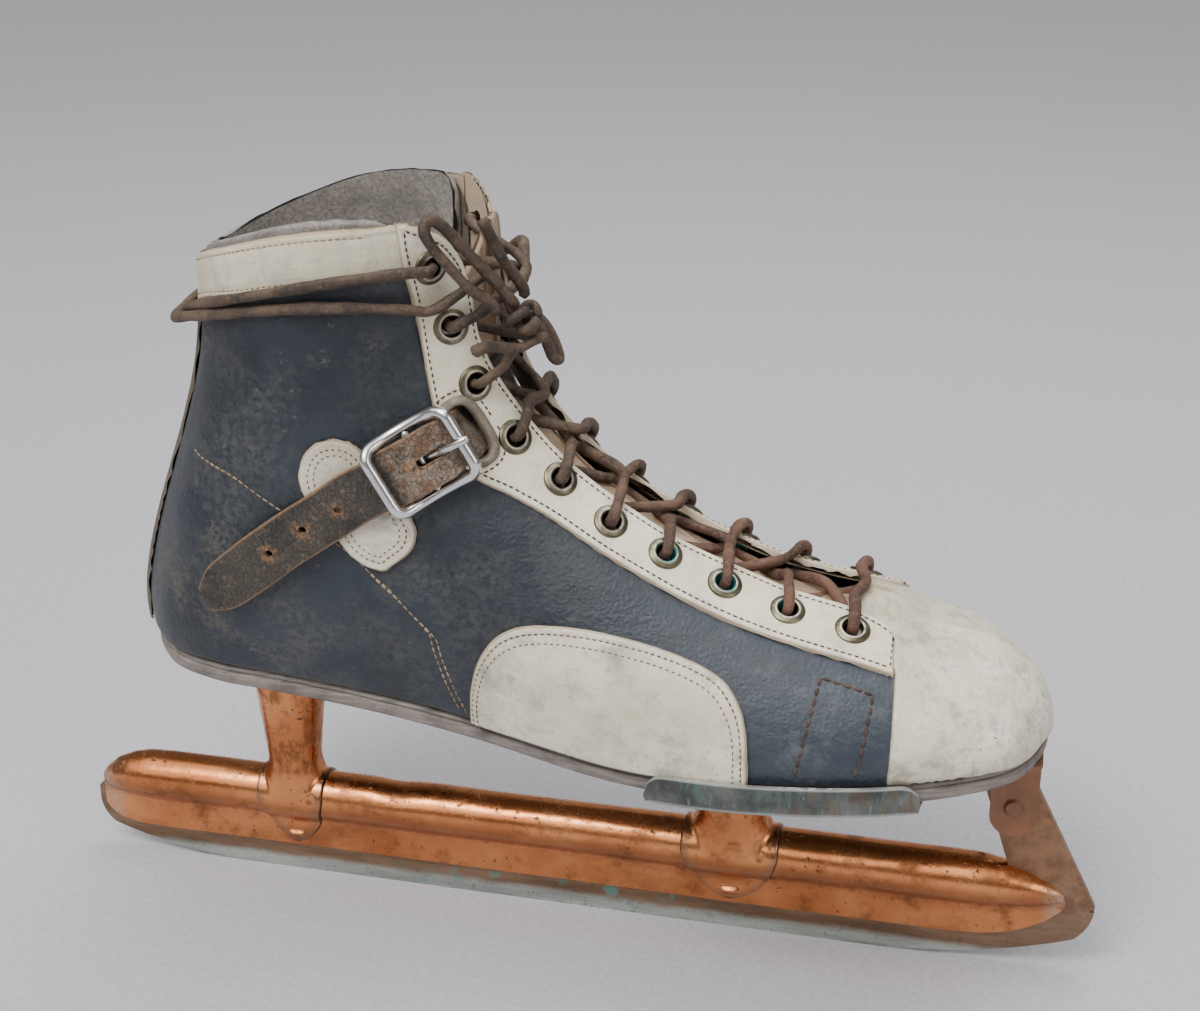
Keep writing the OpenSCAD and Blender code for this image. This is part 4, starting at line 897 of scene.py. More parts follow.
# Each row is a place along the tube, its radius, the height of its axis, its foot and half its flange
TUBE_ROWS = np.array([
    (-163, 1.5, 26.6, 16.5, 1.3), (-161.2, 3.4, 27.2, 14, 1.7), (-157.5, 5.6, 28, 11.9, 2.1),
    (-152, 7.1, 28.8, 10.6, 2.3), (-146, 7.8, 29.4, 10.2, 2.3), (-138, 8, 29.5, 10, 2.3),
    (-60, 8, 29.5, 10, 2.3), (40, 8, 29.5, 10, 2.3), (122, 8, 29.5, 10, 2.3),
    (131, 7.9, 29.4, 10.6, 2.3), (138, 7.1, 29, 12, 2.3), (145, 5.7, 28.2, 14.6, 2.2),
    (151, 4, 27.2, 18, 2.0), (155, 2.4, 26.4, 21.6, 1.7), (156.3, 1.3, 26, 24.2, 1.2),
])


def tube_section(r, axis, low, half, extra=0.0):
    """Half outline of the folded tube from the middle of its top down to the flange's foot."""
    r, half, blend = max(r, half + 0.1) + extra, half + extra, FOLD_R - extra
    reach = half + blend
    drop = math.sqrt(max((r + blend) ** 2 - reach**2, 0))
    turn = math.acos(min(1, -drop / (r + blend))) if drop else math.pi / 2
    round_top = [(r * math.sin(a), axis + r * math.cos(a)) for a in np.linspace(0, turn, 16)]
    turns = np.linspace(math.atan2(drop, reach), 0, 9)[1:]
    sweep = [(reach - blend * math.cos(a), axis - drop + blend * math.sin(a)) for a in turns]
    flat = [(half, z) for z in np.linspace(axis - drop, min(low, axis - drop - 0.2), 5)[1:]]
    return np.array(round_top + sweep + flat)


print("points in half a section", len(tube_section(TUBE_R, TUBE_AXIS, POST_FOOT, FLANGE_HALF)))

# %% Tube
tube_x = np.concatenate([
    np.linspace(-163, -150, 18), np.linspace(-148, 128, 150), np.linspace(130, 156.3, 24),
])
tube_grid = []
for x in tube_x:
    row = [np.interp(x, TUBE_ROWS[:, 0], TUBE_ROWS[:, k]) for k in range(1, 5)]
    half = tube_section(*row)
    loop = np.concatenate([half[::-1], half[1:] * [-1, 1]])
    tube_grid.append(np.column_stack([np.full(len(loop), x), -loop[:, 0], loop[:, 1]]))
tube_grid = np.array(tube_grid)
waves = 0.16 * lattice_noise(tube_grid, 24, 6) + 0.07 * lattice_noise(tube_grid, 8, 7)
waves = waves - 0.7 * np.exp(-((tube_grid[..., 0] + 58) / 6) ** 2 - ((tube_grid[..., 2] - 37) / 3.5) ** 2)
tube_out = tube_grid - np.array([0, 0, TUBE_AXIS])
tube_out[..., 0] = 0
tube_out = tube_out / np.maximum(np.linalg.norm(tube_out, axis=-1, keepdims=True), 1)
tube_grid = tube_grid + waves[..., None] * tube_out
rows, cols = tube_grid.shape[:2]
tube = make_piece("runner_tube", tube_grid.reshape(-1, 3), ring_faces(rows, cols, caps=True), "copper_plate",
                  ["runner_tube"], attributes={"edge": np.full(rows * cols, FAR_FROM_EDGE)})
tube.data.set_sharp_from_angle(angle=0.9)
print("tube", rows, "sections")


# %% Posts
POST_POINTS = 56
FLARE_RINGS = 15
CONE_RINGS = 7
SADDLE_T = 1.05
UNDER_SOLE = 1.5
NECK_UP = 6.5


def post_piece(name, x, half_l, neck_r, top_r):
    """A flared post and the saddle that wraps the tube under it, as one mesh."""
    verts, edge = [], []
    for v, k in itertools.product(range(FLARE_RINGS + CONE_RINGS), range(POST_POINTS)):
        a = 2 * math.pi * k / POST_POINTS
        c, d = math.cos(a), math.sin(a)
        turn = math.copysign(min(math.pi / 2, 1.45 * math.asin(abs(d))), d)
        lean = np.array([0, math.sin(turn), math.cos(turn)])
        foot = np.array([x + half_l * 0.9 * c, 0, TUBE_AXIS]) + (TUBE_R + SADDLE_T - 0.05) * lean
        neck = np.array([x + neck_r * c, neck_r * d, TUBE_AXIS + TUBE_R + NECK_UP])
        rise = neck - foot
        bend = foot + 0.45 * (rise - np.dot(rise, lean) * lean)
        top = np.array([x + top_r * c, top_r * d, float(sole_height(x + top_r * c)) - UNDER_SOLE])
        if v < FLARE_RINGS:
            w = v / (FLARE_RINGS - 1)
            verts.append((1 - w)**2 * foot + 2*w*(1 - w) * bend + w*w * neck)
        else:
            w = (v - FLARE_RINGS + 1) / CONE_RINGS
            verts.append(neck + (top - neck) * w + np.array([c, d, 0]) * 0.6 * (w * w - w))
        edge.append(FAR_FROM_EDGE)
    faces = ring_faces(FLARE_RINGS + CONE_RINGS, POST_POINTS)
    outline = tube_section(TUBE_R, TUBE_AXIS, POST_FOOT, FLANGE_HALF)
    raised = tube_section(TUBE_R, TUBE_AXIS, POST_FOOT, FLANGE_HALF, SADDLE_T)
    share = run_length(outline) / run_length(outline)[-1]
    even = 1 - (1 - np.linspace(0, 1, 64)) ** 1.5
    outline, raised = resample(even, share, outline), resample(even, share, raised)
    last_row = len(outline) - 1
    across = np.concatenate([-np.linspace(1, 0, 22) ** 0.7, np.linspace(0, 1, 22)[1:] ** 0.7])
    for way in (-1, 1):
        base = len(verts)
        for j, (_, z) in enumerate(outline):
            fall = np.clip((TUBE_AXIS + 1 - z) / (TUBE_AXIS + 1 - POST_FOOT), 0, 1)
            rounding = math.sqrt(max(0.02, 1 - max(0, (fall - 0.35) / 0.65) ** 2.4))
            length = half_l * (1 - 0.36 * fall) * rounding
            for u in across:
                in_from_end = (1 - abs(u)) * length
                rim = math.sqrt(max(0, 1 - max(0, 1 - in_from_end / 0.7) ** 2)) if j < last_row else 0
                p = outline[j] + (raised[j] - outline[j]) * (rim - 0.03)
                at = u * length
                swell = 1.3 * math.exp(-(at / 3.2) ** 4 - ((z - POST_FOOT - 3.2) / 1.1) ** 2)
                dent = 0.5 * math.exp(-((at - 0.63 * half_l) / 1.3) ** 4 - ((z - 31.5) / 1.3) ** 4)
                verts.append([x + at, way * (p[0] + swell - dent), p[1]])
                edge.append(min(in_from_end, 1.1 * (z - POST_FOOT)))
        n = len(across)
        for j, k in itertools.product(range(last_row), range(n - 1)):
            a = base + j*n + k
            faces.append([a, a + 1, a + n + 1, a + n])
    make_piece(name, verts, faces, "copper_plate", [name], attributes={"edge": edge})
    print(name, len(verts), "points")


post_piece("front_post", 53, 15.5, 10.8, 14.4)
post_piece("rear_post", -93, 11.5, 8.6, 13)

# %% [markdown]
# ## Turned-up side of the front plate
# The plate under the ball is bent up on both sides to hold the sole's edge. In the CAD these sides end at
# the welt. Here a thin sheet stands on each of them, leans out a little and has rounded upper corners.

# %% Plate sides
PLATE_LOW = -1.6
PLATE_TOP = 8.3
PLATE_T = 1.3
PLATE_OUT = 2.65
PLATE_CORNER = 6.5


def plate_side(name, side):
    """A bent-up strip of sheet along one edge of the sole."""
    stations = np.linspace(2.52, 4.73, 74)
    edge = last_point(stations, 0)
    normal = unit(last_normal(stations, 0) * [1, 1, 0])
    at = run_length(edge)
    verts = []
    heights = np.linspace(0, 1, 12)
    for i in range(len(stations)):
        short = max(0, PLATE_CORNER - min(at[i], at[-1] - at[i]))
        top = PLATE_TOP - PLATE_CORNER + math.sqrt(max(0, PLATE_CORNER**2 - short**2))
        for face in (0, 1):
            for h in heights[::1 if face else -1]:
                z = PLATE_LOW + (top - PLATE_LOW) * h
                lean = max(0, (z - PLATE_LOW) / (PLATE_TOP - PLATE_LOW)) ** 1.4
                p = edge[i] + normal[i] * (PLATE_OUT + 1.75 * lean + face * PLATE_T)
                p[2] = sole_height(edge[i, 0]) + z
                p[1] = p[1] * side + swing(p[0])
                verts.append(p)
    faces = ring_faces(len(stations), 2 * len(heights), caps=True)
    rise = np.tile(np.concatenate([heights[::-1], heights]), len(stations))
    piece = make_piece(name, verts, faces, "plate_steel", attributes={"rise": rise})
    piece.data.set_sharp_from_angle(angle=0.7)


plate_side("plate_side_outer", OUTER)
plate_side("plate_side_inner", INNER)
print("plate sides done")

# %% [markdown]
# ## Sole
# The outsole and the welt show as two thin layers with a dark line between them. Extruding an outline
# gives hard edges, so each layer is a loft of one closed section along the boot, with its edges broken.

# %% Outsole and welt
TO_MIDDLE = 99


def sole_layer(name, section, slot):
    """A loft of a section of (inset, height) pairs over both sides of the sole."""
    stations = np.concatenate([
        np.linspace(0, 0.9, 26), np.linspace(0.95, 11.05, 180), np.linspace(11.1, HEEL_S, 30),
    ])
    edge = last_point(stations, 0)
    normal = unit(last_normal(stations, 0) * [1, 1, 0])
    at_ends = edge[:, 1:2] <= 12
    middle = edge * [1, 0, 1] + normal * [1, 0, 0] * at_ends
    loops = []
    for side in (OUTER, INNER):
        for inset, height in section[::side]:
            p = middle.copy() if inset == TO_MIDDLE else edge + normal * (1 - inset)
            p[:, 1] = np.maximum(p[:, 1], 0) * side + swing(p[:, 0])
            p[:, 2] = sole_height(edge[:, 0]) + height
            loops.append(p)
    grid = np.stack(loops, axis=1)
    make_piece(name, grid.reshape(-1, 3), ring_faces(*grid.shape[:2]), slot, [name], weld=True)


sole_layer("outsole", [
    (TO_MIDDLE, 0), (6, 0), (1.4, 0), (0.6, 0.12), (0.15, 0.5), (0, 1.2), (0.05, 2.2),
    (0, 3.2), (0.15, 3.75), (0.6, 4.08), (1.4, 4.18), (6, 4.18), (TO_MIDDLE, 4.18),
], "sole_leather")
sole_layer("welt", [
    (8, 4.22), (1.5, 4.22), (0.75, 4.32), (0.4, 4.7), (0.35, 5.2), (0.55, 5.65), (1.2, 5.92), (2.2, 5.97),
    (8, 5.97),
], "welt_leather")
print("sole layers done")

# %% [markdown]
# ## Strap
# The ankle strap starts on the inner side, crosses under the laces, comes out of the slot, passes through
# the buckle and ends in a free tail. One swept band follows the CAD rows, from the tail to the inner side.

# %% Middle line of the strap
STRAP_HALF_W = 8
STRAP_HALF_T = 0.9
STRAP_SPREAD = 1.08
OVER_PATCH = OVERLAY_OUT + LAP + STRAP_HALF_T


def in_buckle(x, z):
    return BUCKLE_AT + x * BUCKLE_X + z * BUCKLE_OUT


def strap_rows():
    """Middle line of the strap, its outward directions and its share of the full width."""
    def on_boot(side, s, t, off, wide=1):
        return boot(side, s, t, off), side_normal(side, s, t), wide

    tail = [
        (10.01, 0.237, 0.5), (9.82, 0.272, 0.9), (9.5, 0.326, 1), (9.18, 0.373, 1), (8.87, 0.409, 1),
        (8.58, 0.434, 1),
    ]
    through_buckle = [
        (-23.2, -1.95), (-18.2, -0.55), (-15, 0.65), (-11, 1.45), (-6, 3.25), (-3, 3.65), (3, 3.65),
        (6, 3.25), (10, 1.45),
    ]
    throat = [(7.12, 0.705, 1), (7.05, 0.76, -5), (6.99, 0.82, -5), (6.95, 0.88, -5), (6.94, 0.94, -5)]
    in_slot, on_patch = OVERLAY_OUT + 1.8, OVER_PATCH + LAP
    far_side = [(7.3, 0.645, in_slot), (7.6, 0.555, on_patch), (8, 0.49, on_patch), (8.5, 0.44, on_patch)]
    rows = [on_boot(OUTER, s, t, OVER_PATCH + LAP / 2, wide) for s, t, wide in tail]
    rows += [(in_buckle(x, z), BUCKLE_OUT, STRAP_SPREAD if -12 < x < 7 else 1) for x, z in through_buckle]
    rows += [on_boot(OUTER, *place) for place in throat + [(6.94, 1, -5)]]
    rows += [on_boot(INNER, *place) for place in throat[::-1] + far_side]
    return rows


rows = strap_rows()
strap_mid = smooth_line([r[0] for r in rows], 10)
strap_out = unit(smooth_line([r[1] for r in rows], 10))
strap_wide = np.clip(smooth_line([[r[2]] for r in rows], 10)[:, 0], 0, STRAP_SPREAD) * STRAP_HALF_W
strap_way = np.gradient(strap_mid, axis=0)
strap_across = unit(np.cross(strap_way, strap_out))
strap_out = unit(np.cross(strap_across, strap_way))
print("strap", round(float(run_length(strap_mid)[-1]), 1), "mm long")

# %% Strap band
flat_u = np.linspace(-0.9, 0.9, 17)
SECTION = [
    (-1, -0.5), (-0.97, -0.9), *((u, -1) for u in flat_u), (0.97, -0.9), (1, -0.5),
    (1, 0.5), (0.97, 0.9), *((u, 1) for u in flat_u[::-1]), (-0.97, 0.9), (-1, 0.5),
]
PRONG_SLOT_X = 3.7
HOLE_ST = [(8.49, 0.44), (8.9, 0.409), (9.27, 0.36)]
hole_places = [boot(OUTER, s, t, OVER_PATCH) for s, t in HOLE_ST] + [in_buckle(-2.5, 3.6)]
strap_verts = []
strap_edge = []
for p, out, across, half in zip(strap_mid, strap_out, strap_across, strap_wide):
    for u, v in SECTION:
        place = p + across * u * half
        lump = 0.16 * lattice_noise(place, 5, 8) + 0.1 * lattice_noise(place, 2.2, 9)
        strap_verts.append(place + out * (v * STRAP_HALF_T + lump))
        strap_edge.append((1 - abs(u)) * half)
strap_hole = np.min([np.linalg.norm(np.array(strap_verts) - h, axis=1) for h in hole_places], axis=0)
strap_along = np.repeat(run_length(strap_mid), len(SECTION))
strap_faces = ring_faces(len(strap_mid), len(SECTION), caps=True)
strap = make_piece(
    "strap", strap_verts, strap_faces, "strap_leather", ["ankle_strap", "strap_tail"], body=None,
    attributes={"edge": strap_edge, "along": strap_along, "hole": strap_hole},
)
print("strap", len(strap_verts), "points")

# %% Strap holes and the bar
strap_cuts = []
for place, (s, t) in zip(hole_places, HOLE_ST):
    axis = side_normal(OUTER, s, t)
    ring = place + hole_ring(axis, 1.25, 14)
    strap_cuts.append([ring - 3 * axis, ring + 3 * axis])
u, v = oval(4.9, 1.4, 4, 20)
slot_ring = np.array([in_buckle(PRONG_SLOT_X + a, 0) + b * BUCKLE_Y for a, b in zip(u, v)])
strap_cuts.append([slot_ring, slot_ring + 6 * BUCKLE_OUT])
carve(strap, strap_cuts)
bend_start, bend_end = tuple(in_buckle(-15, 0.65) * MM), tuple(in_buckle(-24, -2) * MM)
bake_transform(strap)
over_bar = np.argmin(np.linalg.norm(strap_mid - in_buckle(0, 3.65), axis=1))
BUCKLE_ALONG = float(run_length(strap_mid)[over_bar])
print("strap holes", len(strap_cuts), "and the bar at", round(BUCKLE_ALONG, 1), "mm")

# %% [markdown]
# ## Buckle
# The buckle is bent from round wire, so its corners are round and its long sides sag in the middle, where
# a bar carries the prong. A rod swept round that loop shows this better than the CAD's straight bars. The
# prong comes up through a slot in the strap and rests on the front bar. A leather loop, the chape, holds
# the bar down.

# %% Buckle frame
def rod(path, fixed, wide, high, power=2.0, closed=False, sides=16):
    """Points and faces of a rod along a path; its high axis follows a fixed direction."""
    path = np.asarray(path, float)
    around = np.roll(path, -1, axis=0) - np.roll(path, 1, axis=0)
    tangent = unit(around if closed else np.gradient(path, axis=0))
    across = unit(np.cross(tangent, fixed))
    up = np.cross(across, tangent)
    u, v = oval(1, 1, power, sides)
    wide, high = np.broadcast_to(wide, len(path)), np.broadcast_to(high, len(path))
    verts = np.concatenate([
        p + w * u[:, None] * a + h * v[:, None] * b for p, a, b, w, h in zip(path, across, up, wide, high)
    ])
    return verts, ring_faces(len(path), sides, caps=not closed, closed=closed)


FRAME_X = 13
FRAME_Y = 10.55
FRAME_CORNER = 3.4
END_LIFT = 5
ARCH_R = (FRAME_X**2 + END_LIFT**2) / (2 * END_LIFT)
loop = []
for middle_x, middle_y, first in ((1, 1, 0), (-1, 1, 90), (-1, -1, 180), (1, -1, 270)):
    for a in np.radians(np.linspace(first, first + 90, 9)):
        loop.append([middle_x * (FRAME_X - FRAME_CORNER) + FRAME_CORNER * math.cos(a),
                     middle_y * (FRAME_Y - FRAME_CORNER) + FRAME_CORNER * math.sin(a)])
loop = even_path(np.column_stack([np.array(loop + loop[:1]), np.zeros(len(loop) + 1)]), 0.7)[:-1, :2]
frame_path = [in_buckle(x, ARCH_R - math.sqrt(ARCH_R**2 - x*x)) + y * BUCKLE_Y for x, y in loop]
bar_path = [in_buckle(0, 0) + y * BUCKLE_Y for y in np.linspace(-FRAME_Y, FRAME_Y, 9)]
wire = joined([
    rod(frame_path, BUCKLE_OUT, 1.75, 1.6, closed=True),
    rod(bar_path, BUCKLE_OUT, 1.35, 1.35),
])
make_piece("buckle_frame", *wire, "nickel", ["buckle_frame"], body="buckle")
print("buckle wire", len(frame_path), "rings")

# %% Prong and chape
PRONG = [
    (1.5, 0.8), (2.8, 1.7), (4.3, 2.5), (6, 3.6), (7.6, 5),
    (9.4, 6.2), (11.4, 7.1), (13.2, 7.6), (14.8, 7.5), (15.5, 7.2),
]
prong_path = smooth_line([in_buckle(x, z) for x, z in PRONG], 5)
taper = np.sqrt(np.clip(np.linspace(len(prong_path), 0.4, len(prong_path)) / 6, 0.15, 1))
prong = rod(prong_path, BUCKLE_Y, 0.85 * taper, 1.1 * taper)
make_piece("buckle_prong", *prong, "nickel", ["buckle_prong"], body="prong")

CHAPE = [
    (-9, -1.95), (-5, -1.95), (-1.5, -1.95), (0, -1.95), (1.4, -1.4), (1.95, 0), (1.4, 1.4), (0, 1.95),
    (-1.4, 1.3), (-2.4, -0.2), (-4, -0.95), (-9, -0.95),
]
chape = []
for y in (-4.15, 4.15):
    chape_path = smooth_line([in_buckle(x, z) + y * BUCKLE_Y for x, z in CHAPE], 4)
    chape.append(rod(chape_path, BUCKLE_Y, 0.5, 2.35, power=6))
verts, faces = joined(chape)
wear = {"edge": 2.0, "along": 0.0, "hole": FAR_FROM_EDGE}
make_piece("chape", verts, faces, "strap_leather", ["buckle_chape"],
           attributes={key: np.full(len(verts), value) for key, value in wear.items()})
print("prong", len(prong_path), "rings")

# %% [markdown]
# ## Stitching
# Seams are what make cut leather read as a boot. A bump texture would blur, so each stitch is a small
# rounded thread that lies on the leather along a line of s and t, a fixed pitch apart.

# %% Threads
# Each ring of a stitch has a size and a height, both in thread radii
STITCH_RINGS = [(0.35, -0.3), (0.9, 0.05), (1, 0.15), (0.9, 0.05), (0.35, -0.3)]
STITCH_SIDES = 6


def stitch_meshes(line, out, pitch, thread, radius):
    """Points and faces of stitches along a line on the leather."""
    at = run_length(line)
    count = max(1, int(at[-1] / pitch))
    start = (np.arange(count) + 0.12) * at[-1] / count
    verts, faces = [], []
    for a in start:
        places = np.linspace(a, a + thread * at[-1] / count, len(STITCH_RINGS))
        middles, ups = resample(places, at, line), unit(resample(places, at, out))
        d = unit(middles[-1] - middles[0])
        faces += ring_faces(len(STITCH_RINGS), STITCH_SIDES, base=len(verts), caps=True)
        for p, o, (size, sink) in zip(middles, ups, STITCH_RINGS):
            across = np.cross(d, o)
            for turn in 2 * math.pi * np.arange(STITCH_SIDES) / STITCH_SIDES:
                verts.append(p + radius * (sink * o + size * (math.cos(turn) * across + math.sin(turn) * o)))
    return verts, faces


thread_sets = {"thread_tan": [], "thread_brown": [], "thread_rust": []}


def sew(thread, side, st, height, pitch, length=0.78, radius=0.3):
    """Adds a row of stitches along a line of (s, t) on one side."""
    line = boot(side, st[:, 0], st[:, 1], height)
    out = boot(side, st[:, 0], st[:, 1], height + 1) - line
    thread_sets[thread].append(stitch_meshes(line, out, pitch, length, radius))


print("threads", list(thread_sets))


# %% Lines of stitches
def inset_line(first, second, inset, trim=0.0):
    """The line that runs a fixed distance in from the first edge, between both ends."""
    a, b = smooth_line(first, 16), smooth_line(second, 16)
    width = np.linalg.norm(last_point(*a.T) - last_point(*b.T), axis=1)
    line = a + (b - a) * (inset / width)[:, None]
    at = run_length(last_point(*line.T))
    keep = (at >= trim) & (at <= at[-1] - trim)
    return line[keep]


def cross_line(first, second, inset):
    """The line from edge to edge a fixed distance in from the start of a piece."""
    a, b = smooth_line(first, 16), smooth_line(second, 16)
    at = run_length((last_point(*a.T) + last_point(*b.T)) / 2)
    p, q = resample(inset, at, a), resample(inset, at, b)
    width = np.linalg.norm(last_point(*p) - last_point(*q))
    w = np.linspace(inset / width, 1 - inset / width, 40)[:, None]
    return p + (q - p) * w


def shrunk_loop(first, second, inset):
    """A closed line that runs a fixed distance inside the outline made by two edges."""
    st = np.concatenate([smooth_line(first, 12), smooth_line(second, 12)[::-1]])
    p = last_point(*st.T)
    middle = p.mean(axis=0)
    out = unit(last_normal(*st.mean(axis=0)))
    first_axis = unit(p[0] - p[len(p) // 3] - out * np.dot(p[0] - p[len(p) // 3], out))
    second_axis = np.cross(out, first_axis)
    flat = np.stack([(p - middle) @ first_axis, (p - middle) @ second_axis], axis=1)
    at = run_length(flat)
    turn = np.linspace(0, at[-1], 120, endpoint=False)
    flat, st = resample(turn, at, flat), resample(turn, at, st)
    run = np.roll(flat, -3, axis=0) - np.roll(flat, 3, axis=0)
    normal = unit(np.stack([-run[:, 1], run[:, 0]], axis=1))
    normal = normal * np.sign(np.sum(-flat * normal))
    goal = flat + inset * normal
    guess = st.mean(axis=0)
    found = find_st(1, middle, first_axis, second_axis, goal[:, 0], goal[:, 1], guess)
    return np.vstack([found, found[:1]])


print("eyestay seam", len(inset_line(REAR, THROAT, STITCH_IN)), "points")

# %% Seams
COUNTER_SEAM = smooth_line([
    (10.86, 0.565), (10.14, 0.51), (9.33, 0.441), (7.82, 0.317), (7.36, 0.289), (6.87, 0.241), (6.75, 0.196),
    (6.43, 0.037),
], 10)
BOX_SEAM = [
    [(3.56, 0.076), (3.52, 0.235), (3.48, 0.41), (3.45, 0.547)],
    [(3.45, 0.547), (3.2, 0.525), (3.02, 0.505)],
    [(3.02, 0.505), (3.05, 0.3), (3.1, 0.087)],
]
STAY_LINES = [
    inset_line(REAR, THROAT, STITCH_IN, 2),
    inset_line(THROAT, REAR, STITCH_IN, 2),
    cross_line(REAR, THROAT, STITCH_IN),
]
COLLAR_LINES = [
    inset_line(COLLAR_LOW, COLLAR_TOP, STITCH_IN, 9),
    inset_line(COLLAR_TOP, COLLAR_LOW, STITCH_IN, 9),
]
PATCH_LINES = [inset_line(PATCH_TOP, PATCH_LOW, STITCH_IN + extra) for extra in (0, 2.6)]
ANKLE_LINES = [shrunk_loop(ANKLE_REAR, ANKLE_FRONT, STITCH_IN + extra) for extra in (0.6, 2.4)]
for side in (OUTER, INNER):
    for line in STAY_LINES:
        sew("thread_rust", side, line, OVERLAY_OUT - 0.15, 2.0)
    for line in COLLAR_LINES:
        sew("thread_tan", side, line, OVERLAY_OUT - 0.35, 2.0, radius=0.24)
    sew("thread_rust", side, slot_line(side, 4.0), OVERLAY_OUT, 1.9)
    for line in PATCH_LINES:
        sew("thread_brown", side, line, OVERLAY_OUT - 0.1, 1.9, 0.72, 0.26)
    for line in ANKLE_LINES:
        sew("thread_brown", side, line, OVERLAY_OUT - 0.1, 1.8, 0.72, 0.26)
    for line in (COUNTER_SEAM, COUNTER_SEAM + [0.09, 0.008]):
        sew("thread_tan", side, line, QUARTER_OUT, 2.2, 0.8, 0.26)
    for line in BOX_SEAM:
        sew("thread_rust", side, smooth_line(line, 12), QUARTER_OUT + 0.05, 3.0, 0.85, 0.5)

for name, rows in thread_sets.items():
    verts, faces = joined(rows)
    make_piece(name, verts, faces, "lace_leather" if name == "thread_rust" else "cream_leather")
    print(name, len(verts), "points")

# %% [markdown]
# ## Shader maths
# A finish is written as an expression. The class below wraps one socket, and its operators add Math
# nodes. All other nodes come from one method.

# %% Wire
class Wire:
    """An output socket of a material, which can be used in Python expressions."""

    def __init__(self, tree, socket=None):
        self.tree = tree
        self.socket = socket

    def node(self, kind, settings=None, sockets=None, out=0):
        new = self.tree.nodes.new(kind)
        for key, value in (settings or {}).items():
            if key == "stops":
                ramp = new.color_ramp.elements
                while len(ramp) < len(value):
                    ramp.new(0.5)
                for element, (place, colour) in zip(ramp, value):
                    element.position = place
                    element.color = (*colour, 1)
            else:
                setattr(new, key, value)
        for key, value in (sockets or {}).items():
            if isinstance(value, Wire):
                self.tree.links.new(value.socket, new.inputs[key])
            else:
                new.inputs[key].default_value = value
        return Wire(self.tree, new.outputs[out])

    def maths(self, operation, a, b):
        return self.node("ShaderNodeMath", {"operation": operation}, {0: a, 1: b})

    def __add__(self, other):
        return self.maths("ADD", self, other)

    def __radd__(self, other):
        return self.maths("ADD", other, self)

    def __sub__(self, other):
        return self.maths("SUBTRACT", self, other)

    def __rsub__(self, other):
        return self.maths("SUBTRACT", other, self)

    def __mul__(self, other):
        return self.maths("MULTIPLY", self, other)

    def __rmul__(self, other):
        return self.maths("MULTIPLY", other, self)

    def step(self, low, high):
        """0 below low, 1 above high, smooth between."""
        sockets = {"Value": self, "From Min": low, "From Max": high}
        return self.node("ShaderNodeMapRange", {"interpolation_type": "SMOOTHSTEP"}, sockets)

    def mix(self, a, b):
        """Colour a where this value is 0 and b where it is 1."""
        a = a if isinstance(a, Wire) else (*a, 1)
        b = b if isinstance(b, Wire) else (*b, 1)
        return self.node("ShaderNodeMix", {"data_type": "RGBA"}, {0: self, 6: a, 7: b}, out=2)


print("operators", [name for name in vars(Wire) if name.startswith("__r")])


# %% Finish
class Finish:
    """A new material with helpers for patterns in millimetres."""

    def __init__(self, name):
        self.material = bpy.data.materials.new(name)
        self.material.use_nodes = True
        self.tree = self.material.node_tree
        self.shader = self.tree.nodes["Principled BSDF"].inputs
        self.wire = Wire(self.tree)
        self.place = self.wire.node("ShaderNodeTexCoord", out="Object")

    def scaled(self, size, stretch, shift):
        grow = tuple(1000 / size / k for k in stretch)
        move = (shift, 2 * shift, 3 * shift)
        v = self.wire.node("ShaderNodeVectorMath", {"operation": "MULTIPLY"}, {0: self.place, 1: grow})
        return self.wire.node("ShaderNodeVectorMath", {"operation": "ADD"}, {0: v, 1: move})

    def noise(self, size, detail=4.0, rough=0.55, stretch=(1, 1, 1), shift=0.0):
        place = self.scaled(size, stretch, shift)
        sockets = {"Vector": place, "Scale": 1.0, "Detail": detail, "Roughness": rough}
        return self.wire.node("ShaderNodeTexNoise", None, sockets)

    def cells(self, size, stretch=(1, 1, 1), feature="F1", shift=0.0):
        sockets = {"Vector": self.scaled(size, stretch, shift), "Scale": 1.0}
        return self.wire.node("ShaderNodeTexVoronoi", {"feature": feature}, sockets)

    def axis(self, letter):
        """The place along one axis in millimetres."""
        return self.wire.node("ShaderNodeSeparateXYZ", None, {0: self.place}, out="XYZ".index(letter)) * 1000

    def attribute(self, name):
        return self.wire.node("ShaderNodeAttribute", {"attribute_name": name}, None, out="Fac")

    def feed(self, **values):
        """Links or sets the shader's sockets; a height goes through a Bump node, in millimetres."""
        for key, value in values.items():
            if key == "height":
                sockets = {"Height": value, "Distance": MM, "Strength": 1.0}
                bump = self.wire.node("ShaderNodeBump", None, sockets)
                self.tree.links.new(bump.socket, self.shader["Normal"])
                continue
            socket = self.shader[key.replace("_", " ").title()]
            if isinstance(value, Wire):
                self.tree.links.new(value.socket, socket)
            else:
                socket.default_value = value
        return self.material


def dress(material, *names):
    """Puts a material on pieces of this file and on CAD nodes."""
    for name in names:
        target = pieces[name] if name in pieces else nodes[name]
        target.data.materials.clear()
        target.data.materials.append(material)
    print(material.name, "on", len(names), "pieces")
